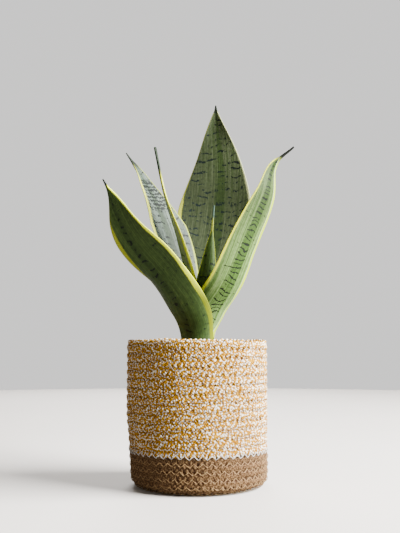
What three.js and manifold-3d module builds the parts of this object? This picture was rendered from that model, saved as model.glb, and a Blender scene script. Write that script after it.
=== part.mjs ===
// Snake plant with pale, dark-banded, yellow-edged leaves, potted inside a two-tone braided basket.
// Millimetres, +Z up. The origin is the centre of the basket's flat underside, and -Y is the front.

import * as THREE from 'three';
import { mergeVertices } from 'three/addons/utils/BufferGeometryUtils.js';
import Module from 'manifold-3d';

const wasm = await Module();
wasm.setup();

// Basket: rows of braid stitched one on another, brown below and pale above
const BASKET_HEIGHT = 160;
const RIM_RADIUS = 80;
const BAND_EDGE_RADIUS = 78;
const STRAIGHT_FROM_HEIGHT = 85;
const FOOT_RADIUS = 76.5;
const FOOT_ROUNDING = 12;
const WALL = 6.5;
const BASE_THICKNESS = 5;
const LOWER_ROWS = 5;
const UPPER_ROWS = 13;
const BAND_EDGE_HEIGHT = 40;
const SEAM_DEPTH = 1.6;
const INNER_SEAM_DEPTH = 0.9;
const ROW_SHOULDERS = [ 0.25, 0.75 ];
const INNER_FOOT_BEVEL = 4;
const BASKET_SIDES = 40;

// Nursery pot inside the basket
const POT_HEIGHT = 124;
const POT_TOP_RADIUS = 66;
const POT_BASE_RADIUS = 52;
const POT_WALL = 1.5;
const POT_LIP_WIDTH = 3;
const POT_LIP_HEIGHT = 8;
const POT_SIDES = 32;
const DRAIN_HOLES = 6;
const DRAIN_RADIUS = 5;
const DRAIN_CIRCLE_RADIUS = 34;
const DRAIN_SIDES = 8;

// Potting mix
const MIX_TOP = 122;
const MIX_CROWN_RISE = 1.5;
const MIX_CROWN_SHARE = 0.6;

// Clearance between pieces that touch
const GAP = 0.3;

// Leaves: every base is part of a ring round the crown, one inside the other
const CROWN = new THREE.Vector2( 2, 0 );
const LEAF_ROOT_HEIGHT = 107;
const LEAF_COLLAR_HEIGHT = 160;
const COLLAR_SPREAD = 1.07;
const WIDENING_STARTS = 0.12;
const LEAF_MIDRIB_THICKNESS = 2.8;
const LEAF_TIP_THICKNESS = 1.2;
const LEAF_EDGE_THICKNESS = 1.0;
const TIP_HALF_WIDTH = 0.8;
const AWL_HALF_WIDTH = 2.2;
const WAVE_SIDE_SHIFT = 1.3;
const WAVE_EDGE_POWER = 2.5;
const WAVE_FADE_ROOT = 0.35;
const WAVE_FADE_TIP = 0.25;
const LEAF_STEPS_ACROSS = 8;
const LEAF_STEPS_ALONG = 20;
const ROLL_STATIONS = [ 0, 0.2, 0.5, 0.85, 1 ];

// ring: radius of the base round the crown. out: compass angle in degrees that the outer face turns to,
// at the root and at the tip. midrib: points that the middle of the blade runs through above the collar.
// wide: greatest half width, widestAt: where it lies from root to tip, point: how full the tip is,
// awl: share of the length that is the narrow tip. roll: half angle in degrees of the channelled
// section at each roll station. wave: height of the edge's waves, their number and their phase in degrees.
const LEAVES = {
	leaf_front_left: {
		ring: 19, out: [ - 102, - 138 ],
		midrib: [ [ - 11, - 37, 193 ], [ - 37, - 51, 230 ], [ - 76, - 63, 273 ], [ - 100, - 76, 330 ] ],
		wide: 26, widestAt: 0.66, point: 1.3, awl: 0.03,
		roll: [ 70, 72, 24, 7, 60 ], wave: [ - 9.5, 1.5, 49 ],
	},
	leaf_right: {
		ring: 14.5, out: [ - 52, - 36 ],
		midrib: [
			[ 22, - 12, 192 ], [ 40, - 22, 225 ], [ 58, - 29, 270 ],
			[ 78, - 33, 320 ], [ 86, - 35, 355 ], [ 109, - 36, 377 ],
		],
		wide: 30, widestAt: 0.38, point: 1.9, awl: 0.09,
		roll: [ 72, 70, 36, 12, 60 ], wave: [ 1, 2, 20 ],
	},
	leaf_back: {
		ring: 18.5, out: [ 95, 68 ],
		midrib: [ [ 6, 44, 227 ], [ 20, 60, 300 ], [ 26, 74, 377 ], [ 24, 84, 467 ] ],
		wide: 47.5, widestAt: 0.66, point: 1.5, awl: 0.015,
		roll: [ 70, 70, 32, 10, 50 ], wave: [ 0.6, 1.8, 40 ],
	},
	leaf_left: {
		ring: 13.5, out: [ 128, 150 ],
		midrib: [ [ - 16, 18, 215 ], [ - 30, 23, 271 ], [ - 52, 32, 330 ], [ - 88, 44, 392 ] ],
		wide: 35, widestAt: 0.69, point: 0.98, awl: 0.03,
		roll: [ 70, 64, 24, 16, 85 ], wave: [ 1, 1.6, 90 ],
	},
	leaf_edge_on: {
		ring: 10, out: [ - 157, - 168 ],
		midrib: [ [ - 9, - 2, 219 ], [ - 21, - 1, 275 ], [ - 38, 1, 331 ], [ - 50, 4, 388 ] ],
		wide: 17, widestAt: 0.41, point: 1.05, awl: 0.08,
		roll: [ 78, 70, 38, 13, 60 ], wave: [ 0.8, 1.7, 60 ],
	},
	leaf_heart: {
		ring: 5.5, out: [ - 90, - 77 ],
		midrib: [ [ 7, - 3, 205 ], [ 13, 0, 243 ], [ 17, 4, 281 ], [ 20, 7, 318 ] ],
		wide: 13, widestAt: 0.49, point: 1.56, awl: 0.16,
		roll: [ 80, 72, 50, 50, 60 ], wave: [ 0.5, 1.5, 0 ],
	},
};

const MATERIALS = {
	jute: new THREE.MeshStandardMaterial( { color: 0x8a6b47, roughness: 0.95, metalness: 0 } ),
	paleBraid: new THREE.MeshStandardMaterial( { color: 0xd9b878, roughness: 0.92, metalness: 0 } ),
	plastic: new THREE.MeshStandardMaterial( { color: 0x2b2623, roughness: 0.55, metalness: 0 } ),
	mix: new THREE.MeshStandardMaterial( { color: 0x3a2a1e, roughness: 1, metalness: 0 } ),
	leaf: new THREE.MeshStandardMaterial( { color: 0x7f9662, roughness: 0.45, metalness: 0 } ),
	silveryLeaf: new THREE.MeshStandardMaterial( { color: 0xb3c3b4, roughness: 0.45, metalness: 0 } ),
	darkLeaf: new THREE.MeshStandardMaterial( { color: 0x4b5c33, roughness: 0.45, metalness: 0 } ),
};

// Solids and surfaces

function toManifold( geometry ) {

	const bare = geometry.clone();
	bare.deleteAttribute( 'normal' );
	bare.deleteAttribute( 'uv' );
	const merged = mergeVertices( bare );
	return new wasm.Manifold( new wasm.Mesh( {
		numProp: 3,
		vertProperties: new Float32Array( merged.attributes.position.array ),
		triVerts: new Uint32Array( merged.index.array ),
	} ) );

}

function toGeometry( solid ) {

	const mesh = solid.getMesh();
	const geometry = new THREE.BufferGeometry();
	geometry.setAttribute( 'position', new THREE.BufferAttribute( mesh.vertProperties, 3 ) );
	geometry.setIndex( new THREE.BufferAttribute( mesh.triVerts, 1 ) );
	geometry.computeVertexNormals();
	return geometry;

}

function lathe( profile, sides ) {

	const points = profile.map( ( [ radius, height ] ) => new THREE.Vector2( radius, height ) );
	const geometry = new THREE.LatheGeometry( points, sides );
	geometry.rotateX( Math.PI / 2 );
	return geometry;

}

function ease( t ) {

	return THREE.MathUtils.smoothstep( t, 0, 1 );

}

function named( name, geometry, material ) {

	const mesh = new THREE.Mesh( geometry, material );
	mesh.name = name;
	return mesh;

}

// Basket

function basketRadius( height ) {

	if ( height > BAND_EDGE_HEIGHT ) {

		const share = ( height - BAND_EDGE_HEIGHT ) / ( STRAIGHT_FROM_HEIGHT - BAND_EDGE_HEIGHT );
		return THREE.MathUtils.lerp( BAND_EDGE_RADIUS, RIM_RADIUS, ease( share ) );

	}

	const side = THREE.MathUtils.lerp( FOOT_RADIUS, BAND_EDGE_RADIUS, height / BAND_EDGE_HEIGHT );
	const below = Math.max( FOOT_ROUNDING - height, 0 ) / FOOT_ROUNDING;
	return side - FOOT_ROUNDING * ( 1 - Math.sqrt( 1 - below * below ) );

}

// Outer wall of a stack of braid rows, from bottom to top: a seam, then a rounded row, and so on
function outerRows( bottom, top, rows ) {

	const rowHeight = ( top - bottom ) / rows;
	const profile = [];
	for ( let row = 0; row < rows; row ++ ) {

		const seam = bottom + row * rowHeight;
		if ( seam > 0 ) profile.push( [ basketRadius( seam ) - SEAM_DEPTH, seam ] );
		for ( const share of ROW_SHOULDERS ) {

			const height = seam + share * rowHeight;
			profile.push( [ basketRadius( height ), height ] );

		}

	}

	profile.push( [ basketRadius( top ) - SEAM_DEPTH, top ] );
	return profile;

}

// Inner wall from top to bottom: rounded rows where it shows above the potting mix, plain below
function innerRows( bottom, top, rows ) {

	const rowHeight = ( top - bottom ) / rows;
	const profile = [];
	for ( let row = rows; row > 0; row -- ) {

		const seam = bottom + row * rowHeight;
		if ( seam < MIX_TOP ) break;
		const middle = seam - rowHeight / 2;
		profile.push( [ basketRadius( seam ) - WALL + INNER_SEAM_DEPTH, seam ] );
		profile.push( [ basketRadius( middle ) - WALL, middle ] );

	}

	return profile;

}

function lowerBand() {

	const innerFoot = FOOT_RADIUS - WALL;
	return lathe( [
		[ 0, 0 ],
		[ FOOT_RADIUS - FOOT_ROUNDING, 0 ],
		...outerRows( 0, BAND_EDGE_HEIGHT, LOWER_ROWS ),
		[ BAND_EDGE_RADIUS - WALL, BAND_EDGE_HEIGHT ],
		[ innerFoot, FOOT_ROUNDING ],
		[ innerFoot - INNER_FOOT_BEVEL, BASE_THICKNESS ],
		[ 0, BASE_THICKNESS ],
	], BASKET_SIDES );

}

function upperBand() {

	const bottom = BAND_EDGE_HEIGHT + GAP;
	const outer = outerRows( bottom, BASKET_HEIGHT, UPPER_ROWS );
	const inner = innerRows( bottom, BASKET_HEIGHT, UPPER_ROWS );
	return lathe( [ ...outer, ...inner, [ BAND_EDGE_RADIUS - WALL, bottom ], outer[ 0 ] ], BASKET_SIDES );

}

// Nursery pot and its potting mix

const POT_FLOOR = BASE_THICKNESS + GAP;
const POT_TOP = POT_FLOOR + POT_HEIGHT;

function potRadius( height ) {

	return THREE.MathUtils.lerp( POT_BASE_RADIUS, POT_TOP_RADIUS, ( height - POT_FLOOR ) / POT_HEIGHT );

}

function nurseryPot() {

	const lipBottom = POT_TOP - POT_LIP_HEIGHT;
	const body = toManifold( lathe( [
		[ 0, POT_FLOOR ],
		[ POT_BASE_RADIUS, POT_FLOOR ],
		[ potRadius( lipBottom ), lipBottom ],
		[ potRadius( lipBottom ) + POT_LIP_WIDTH, lipBottom ],
		[ POT_TOP_RADIUS + POT_LIP_WIDTH, POT_TOP ],
		[ POT_TOP_RADIUS - POT_WALL, POT_TOP ],
		[ POT_BASE_RADIUS - POT_WALL, POT_FLOOR + POT_WALL ],
		[ 0, POT_FLOOR + POT_WALL ],
	], POT_SIDES ) );
	let pot = body;
	for ( let hole = 0; hole < DRAIN_HOLES; hole ++ ) {

		const drill = new THREE.CylinderGeometry( DRAIN_RADIUS, DRAIN_RADIUS, POT_WALL * 4, DRAIN_SIDES );
		drill.rotateX( Math.PI / 2 );
		drill.translate( DRAIN_CIRCLE_RADIUS, 0, POT_FLOOR );
		drill.rotateZ( hole / DRAIN_HOLES * Math.PI * 2 );
		pot = pot.subtract( toManifold( drill ) );

	}

	return toGeometry( pot );

}

function pottingMix() {

	const floor = POT_FLOOR + POT_WALL + GAP;
	const edge = potRadius( MIX_TOP ) - POT_WALL - GAP;
	let mix = toManifold( lathe( [
		[ 0, floor ],
		[ potRadius( floor ) - POT_WALL - GAP, floor ],
		[ edge, MIX_TOP ],
		[ edge * MIX_CROWN_SHARE, MIX_TOP + MIX_CROWN_RISE ],
		[ 0, MIX_TOP + MIX_CROWN_RISE ],
	], POT_SIDES ) );
	for ( const leaf of Object.values( LEAVES ) ) {

		mix = mix.subtract( toManifold( leafGeometry( leaf, GAP ) ) );

	}

	return toGeometry( mix );

}

// Leaves

function leafCurve( leaf ) {

	const angle = THREE.MathUtils.degToRad( leaf.out[ 0 ] );
	const onRing = ( radius, height ) => new THREE.Vector3(
		CROWN.x + radius * Math.cos( angle ), CROWN.y + radius * Math.sin( angle ), height );
	return new THREE.CatmullRomCurve3( [
		onRing( leaf.ring, LEAF_ROOT_HEIGHT ),
		onRing( leaf.ring * COLLAR_SPREAD, LEAF_COLLAR_HEIGHT ),
		...leaf.midrib.map( ( point ) => new THREE.Vector3( ...point ) ),
	], false, 'catmullrom', 0.5 );

}

function leafHalfWidth( leaf, v ) {

	const root = leaf.ring * THREE.MathUtils.degToRad( leaf.roll[ 0 ] );
	if ( v < leaf.widestAt ) {

		const share = ease( ( v - WIDENING_STARTS ) / ( leaf.widestAt - WIDENING_STARTS ) );
		return THREE.MathUtils.lerp( root, leaf.wide, share );

	}

	const awlStart = 1 - leaf.awl;
	const taper = THREE.MathUtils.clamp( ( awlStart - v ) / ( awlStart - leaf.widestAt ), 0, 1 );
	const awl = Math.min( ( 1 - v ) / leaf.awl, 1 );
	return TIP_HALF_WIDTH + ( AWL_HALF_WIDTH - TIP_HALF_WIDTH ) * awl
		+ ( leaf.wide - AWL_HALF_WIDTH ) * ( 1 - Math.pow( 1 - taper, leaf.point ) );

}

function leafRoll( leaf, v ) {

	let station = 0;
	while ( station < ROLL_STATIONS.length - 2 && v > ROLL_STATIONS[ station + 1 ] ) station ++;
	const from = ROLL_STATIONS[ station ];
	const share = ease( ( v - from ) / ( ROLL_STATIONS[ station + 1 ] - from ) );
	const degrees = THREE.MathUtils.lerp( leaf.roll[ station ], leaf.roll[ station + 1 ], share );
	return THREE.MathUtils.degToRad( degrees );

}

// Point on the middle surface of a blade: u runs across from -1 to 1, v from root to tip
function leafPoint( leaf, curve, u, v ) {

	const centre = curve.getPoint( v );
	const ahead = curve.getPoint( Math.min( v + 1e-4, 1 ) );
	const tangent = ahead.sub( curve.getPoint( Math.max( v - 1e-4, 0 ) ) ).normalize();
	const turn = THREE.MathUtils.degToRad( THREE.MathUtils.lerp( leaf.out[ 0 ], leaf.out[ 1 ], ease( v ) ) );
	const outward = new THREE.Vector3( Math.cos( turn ), Math.sin( turn ), 0 );
	outward.addScaledVector( tangent, - outward.dot( tangent ) ).normalize();
	const across = new THREE.Vector3().crossVectors( tangent, outward );
	const roll = leafRoll( leaf, v );
	const radius = leafHalfWidth( leaf, v ) / roll;
	const [ waveHeight, waveCount, wavePhase ] = leaf.wave;
	const phase = THREE.MathUtils.degToRad( wavePhase ) + WAVE_SIDE_SHIFT * Math.sign( u );
	const swing = Math.sin( 2 * Math.PI * waveCount * v + phase ) * Math.pow( Math.abs( u ), WAVE_EDGE_POWER );
	const wave = waveHeight * swing * ease( v / WAVE_FADE_ROOT ) * ease( ( 1 - v ) / WAVE_FADE_TIP );
	const inward = radius * ( 1 - Math.cos( u * roll ) ) + wave;
	return centre.addScaledVector( across, radius * Math.sin( u * roll ) ).addScaledVector( outward, - inward );

}

// Closed blade of two faces split alike. extra grows it on every side, for the hole that it stands in.
function leafGeometry( leaf, extra = 0 ) {

	const curve = leafCurve( leaf );
	const step = 1e-3;
	const positions = [];
	for ( let row = 0; row <= LEAF_STEPS_ALONG; row ++ ) {

		const v = row / LEAF_STEPS_ALONG;
		const grown = 1 + extra / leafHalfWidth( leaf, v );
		for ( let column = 0; column <= LEAF_STEPS_ACROSS; column ++ ) {

			const u = ( column / LEAF_STEPS_ACROSS * 2 - 1 ) * grown;
			const middle = leafPoint( leaf, curve, u, v );
			if ( row === 0 ) middle.z -= extra;
			const sideways = leafPoint( leaf, curve, u + step, v ).sub( leafPoint( leaf, curve, u - step, v ) );
			const along = leafPoint( leaf, curve, u, Math.min( v + step, 1 ) )
				.sub( leafPoint( leaf, curve, u, Math.max( v - step, 0 ) ) );
			const normal = sideways.cross( along ).normalize();
			const flank = Math.min( u * u, 1 );
			const midrib = THREE.MathUtils.lerp( LEAF_MIDRIB_THICKNESS, LEAF_TIP_THICKNESS, v );
			const half = THREE.MathUtils.lerp( midrib, LEAF_EDGE_THICKNESS, flank ) / 2 + extra;
			const outer = middle.clone().addScaledVector( normal, half );
			const inner = middle.clone().addScaledVector( normal, - half );
			positions.push( outer.x, outer.y, outer.z, inner.x, inner.y, inner.z );

		}

	}

	const rowSize = LEAF_STEPS_ACROSS + 1;
	const index = [];
	const outerAt = ( row, column ) => ( row * rowSize + column ) * 2;
	const innerAt = ( row, column ) => outerAt( row, column ) + 1;
	const quad = ( a, b, c, d ) => index.push( a, b, c, a, c, d );
	for ( let row = 0; row < LEAF_STEPS_ALONG; row ++ ) {

		for ( let column = 0; column < LEAF_STEPS_ACROSS; column ++ ) {

			const next = column + 1;
			const above = row + 1;
			quad( outerAt( row, column ), outerAt( row, next ), outerAt( above, next ), outerAt( above, column ) );
			quad( innerAt( row, column ), innerAt( above, column ), innerAt( above, next ), innerAt( row, next ) );

		}

		quad( outerAt( row, 0 ), outerAt( row + 1, 0 ), innerAt( row + 1, 0 ), innerAt( row, 0 ) );
		const last = LEAF_STEPS_ACROSS;
		quad( outerAt( row, last ), innerAt( row, last ), innerAt( row + 1, last ), outerAt( row + 1, last ) );

	}

	for ( let column = 0; column < LEAF_STEPS_ACROSS; column ++ ) {

		const end = LEAF_STEPS_ALONG;
		const next = column + 1;
		quad( outerAt( 0, column ), innerAt( 0, column ), innerAt( 0, next ), outerAt( 0, next ) );
		quad( outerAt( end, column ), outerAt( end, next ), innerAt( end, next ), innerAt( end, column ) );

	}

	const geometry = new THREE.BufferGeometry();
	geometry.setAttribute( 'position', new THREE.Float32BufferAttribute( positions, 3 ) );
	geometry.setIndex( index );
	geometry.computeVertexNormals();
	return geometry;

}

// Assembly

const plant = new THREE.Group();
plant.add( named( 'basket_lower_band', lowerBand(), MATERIALS.jute ) );
plant.add( named( 'basket_upper_band', upperBand(), MATERIALS.paleBraid ) );
plant.add( named( 'nursery_pot', nurseryPot(), MATERIALS.plastic ) );
plant.add( named( 'potting_mix', pottingMix(), MATERIALS.mix ) );
const leafMaterials = {
	leaf_left: MATERIALS.silveryLeaf,
	leaf_front_left: MATERIALS.darkLeaf,
	leaf_heart: MATERIALS.darkLeaf,
};
for ( const [ name, leaf ] of Object.entries( LEAVES ) ) {

	plant.add( named( name, leafGeometry( leaf ), leafMaterials[ name ] ?? MATERIALS.leaf ) );

}

export default plant;
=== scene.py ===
"""Dresses the potted snake plant: plaited basket, nursery pot, potting mix and six banded leaves."""

import logging
import math
from contextlib import contextmanager
from dataclasses import dataclass, fields, replace
from enum import Enum
from typing import Iterator, Sequence

import bpy
import numpy as np
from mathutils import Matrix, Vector


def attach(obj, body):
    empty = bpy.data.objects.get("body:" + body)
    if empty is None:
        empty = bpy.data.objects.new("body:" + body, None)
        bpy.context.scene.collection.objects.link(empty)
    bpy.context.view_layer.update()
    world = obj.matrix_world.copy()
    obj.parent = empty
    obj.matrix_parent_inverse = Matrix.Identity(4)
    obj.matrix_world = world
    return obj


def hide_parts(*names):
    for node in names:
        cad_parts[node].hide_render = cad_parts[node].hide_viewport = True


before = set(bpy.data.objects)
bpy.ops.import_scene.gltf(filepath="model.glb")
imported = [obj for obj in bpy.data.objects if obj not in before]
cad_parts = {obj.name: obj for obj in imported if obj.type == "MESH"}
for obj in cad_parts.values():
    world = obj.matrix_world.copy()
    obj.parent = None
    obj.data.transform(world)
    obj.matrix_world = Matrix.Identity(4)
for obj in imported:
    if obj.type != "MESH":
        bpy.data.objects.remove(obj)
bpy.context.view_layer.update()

Piece = bpy.types.Object
Material = bpy.types.Material
Tree = bpy.types.NodeTree
Socket = bpy.types.NodeSocket
LOG = logging.getLogger("snake_plant")
MM = 0.001
TURN = 2.0 * math.pi
WELD = 0.002
SEAM_SHARE = 0.9999
BODY = "root"
UPPER_BAND = "basket_upper_band"
LOWER_BAND = "basket_lower_band"


class Slot(Enum):
    """Slots of the record that finishes come from."""

    PALE_BRAID = "pale_braid"
    JUTE_BRAID = "jute_braid"
    POT_PLASTIC = "pot_plastic"
    POTTING_MIX = "potting_mix"
    LEAF_DARK = "leaf_dark"
    LEAF_GREEN = "leaf_green"
    LEAF_SILVERY = "leaf_silvery"


# Modelling steps


def put_down_everything() -> None:
    """Leaves object mode as the mode and nothing selected."""
    if bpy.context.object is not None and bpy.context.object.mode != "OBJECT":
        bpy.ops.object.mode_set(mode="OBJECT")
    bpy.ops.object.select_all(action="DESELECT")


def pick(piece: Piece) -> None:
    """Makes one piece the only selected and the active one.

    Args:
        piece: The object to work on.
    """
    put_down_everything()
    piece.select_set(True)
    bpy.context.view_layer.objects.active = piece


@contextmanager
def edit_mode(piece: Piece) -> Iterator[None]:
    """Opens a piece in edit mode with all of it selected, and closes it afterwards.

    Args:
        piece: The object to work on.

    Yields:
        Nothing.
    """
    pick(piece)
    bpy.ops.object.mode_set(mode="EDIT")
    bpy.ops.mesh.select_all(action="SELECT")
    try:
        yield
    finally:
        bpy.ops.object.mode_set(mode="OBJECT")


def added(name: str) -> Piece:
    """Names the object that an operator has just added.

    Args:
        name: The name for the object and its mesh.

    Returns:
        The object.
    """
    piece = bpy.context.active_object
    piece.name = name
    piece.data.name = name
    return piece


def flat_sheet(name: str, columns: int, rows: int) -> Piece:
    """Adds a grid of faces, which is then laid on a curved surface.

    Args:
        name: The name of the sheet.
        columns: Number of faces along X.
        rows: Number of faces along Y.

    Returns:
        The sheet.
    """
    put_down_everything()
    bpy.ops.mesh.primitive_grid_add(x_subdivisions=columns, y_subdivisions=rows, size=2.0, calc_uvs=True)
    return added(name)


def points_of(piece: Piece) -> np.ndarray:
    """Reads where the vertices of a piece lie.

    Args:
        piece: The object to read.

    Returns:
        One point a row.
    """
    flat = np.empty(len(piece.data.vertices) * 3)
    piece.data.vertices.foreach_get("co", flat)
    return flat.reshape(-1, 3)


def sheet_shares(sheet: Piece) -> tuple[np.ndarray, np.ndarray]:
    """Reads how far along X and Y each vertex of a flat sheet lies.

    Args:
        sheet: A sheet that is still flat.

    Returns:
        The shares along X and along Y, from 0 to 1.
    """
    shares = (points_of(sheet) + 1.0) / 2.0
    return shares[:, 0], shares[:, 1]


def closed_turn(share: np.ndarray) -> np.ndarray:
    """Turns shares of the way round into angles that end where they start."""
    return TURN * np.where(share > SEAM_SHARE, 0.0, share)


def unit(rows: np.ndarray) -> np.ndarray:
    """Brings each row of a list of vectors to a length of 1."""
    return rows / np.linalg.norm(rows, axis=1, keepdims=True)


def lay_points(piece: Piece, points: np.ndarray) -> None:
    """Moves the vertices of a piece.

    Args:
        piece: The object whose mesh is moved.
        points: New places in millimetres, one row for each vertex.
    """
    piece.data.vertices.foreach_set("co", (points * MM).astype(np.float32).ravel())
    piece.data.update()


def write_attribute(piece: Piece, name: str, values: np.ndarray | float) -> None:
    """Stores one number at each vertex, for the materials to read.

    Args:
        piece: The object that gets the attribute.
        name: The attribute's name.
        values: One number for each vertex, or one for all.
    """
    attribute = piece.data.attributes.new(name, "FLOAT", "POINT")
    attribute.data.foreach_set("value", np.full(len(piece.data.vertices), values, np.float32))


def write_uv(piece: Piece, name: str, along: np.ndarray, around: np.ndarray) -> None:
    """Stores a UV map.

    Args:
        piece: The object that gets the map.
        name: The map's name.
        along: U at each corner of a face.
        around: V at each corner of a face.
    """
    layer = piece.data.uv_layers.get(name) or piece.data.uv_layers.new(name=name)
    layer.data.foreach_set("uv", np.stack([along, around], 1).astype(np.float32).ravel())


def corner_uv(piece: Piece) -> tuple[np.ndarray, np.ndarray]:
    """Reads the first UV map of a piece.

    Args:
        piece: The object to read.

    Returns:
        U and V at each corner of a face.
    """
    flat = np.empty(len(piece.data.loops) * 2)
    piece.data.uv_layers[0].data.foreach_get("uv", flat)
    flat = flat.reshape(-1, 2)
    return flat[:, 0], flat[:, 1]


def copied(piece: Piece, name: str) -> Piece:
    """Copies a piece with a mesh of its own.

    Args:
        piece: The object to copy.
        name: The copy's name.

    Returns:
        The copy.
    """
    twin = piece.copy()
    twin.data = piece.data.copy()
    twin.name = name
    bpy.context.collection.objects.link(twin)
    return twin


def joined(pieces: Sequence[Piece], name: str) -> Piece:
    """Joins pieces into one.

    Args:
        pieces: The objects to join.
        name: The name of the result.

    Returns:
        The joined piece.
    """
    put_down_everything()
    for piece in pieces:
        piece.select_set(True)
    bpy.context.view_layer.objects.active = pieces[0]
    if len(pieces) > 1:
        bpy.ops.object.join()
    return added(name)


def weld(piece: Piece, distance: float = WELD, outward: bool = False) -> None:
    """Merges the vertices of a piece that lie on one another.

    Args:
        piece: The object to close.
        distance: How far apart in millimetres they may lie.
        outward: Whether all faces are then turned outwards.
    """
    with edit_mode(piece):
        bpy.ops.mesh.remove_doubles(threshold=distance * MM)
        if outward:
            bpy.ops.mesh.normals_make_consistent(inside=False)


def apply_modifiers(piece: Piece) -> None:
    """Applies every modifier of a piece in turn.

    Args:
        piece: The object to finish.
    """
    pick(piece)
    for modifier in list(piece.modifiers):
        bpy.ops.object.modifier_apply(modifier=modifier.name)


def smooth_faces(piece: Piece, angle: float = 180.0) -> None:
    """Shades a piece smooth up to an angle.

    Args:
        piece: The object to shade.
        angle: Greatest angle in degrees across which shading stays smooth.
    """
    pick(piece)
    if angle >= 180.0:
        bpy.ops.object.shade_smooth()
    else:
        bpy.ops.object.shade_smooth_by_angle(angle=math.radians(angle))


def settle(piece: Piece, material: Material, slot: Slot, *nodes: str) -> None:
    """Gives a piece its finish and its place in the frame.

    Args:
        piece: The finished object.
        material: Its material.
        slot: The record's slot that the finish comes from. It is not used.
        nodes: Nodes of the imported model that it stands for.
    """
    piece.data.materials.clear()
    piece.data.materials.append(material)
    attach(piece, BODY)
    if nodes:
        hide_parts(*nodes)
    triangles = sum(len(face.vertices) - 2 for face in piece.data.polygons)
    LOG.info("%s: %d triangles", piece.name, triangles)


def soft_step(share: np.ndarray) -> np.ndarray:
    """Eases a share in and out between 0 and 1."""
    held = np.clip(share, 0.0, 1.0)
    return held * held * (3.0 - 2.0 * held)


@dataclass(frozen=True)
class Drift:
    """A gentle, seeded wandering round the basket that closes on itself."""

    height: float
    waves: tuple[int, ...]
    seed: int = 0
    greatest_lean: float = 0.03

    def seeded(self, seed: int) -> "Drift":
        """Gives a wandering of the same kind that differs in its course."""
        return replace(self, seed=seed)

    def at(self, angle: np.ndarray, level: float = 0.0) -> np.ndarray:
        """Gives the wandering at an angle.

        Args:
            angle: Angles round the basket in radians.
            level: Height of the row, so that rows that touch wander alike.

        Returns:
            The wandering, within about plus and minus the height.
        """
        draw = np.random.default_rng(self.seed)
        total = np.zeros_like(angle)
        for wave in self.waves:
            start = draw.uniform(0.0, TURN)
            lean = draw.uniform(-self.greatest_lean, self.greatest_lean)
            total += np.sin(wave * angle + start + lean * level)
        return total * self.height / math.sqrt(len(self.waves))


# Shader steps


def label(key: str) -> str:
    """Turns the name of a value into the name of its socket."""
    return key.replace("_", " ").capitalize()


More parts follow.
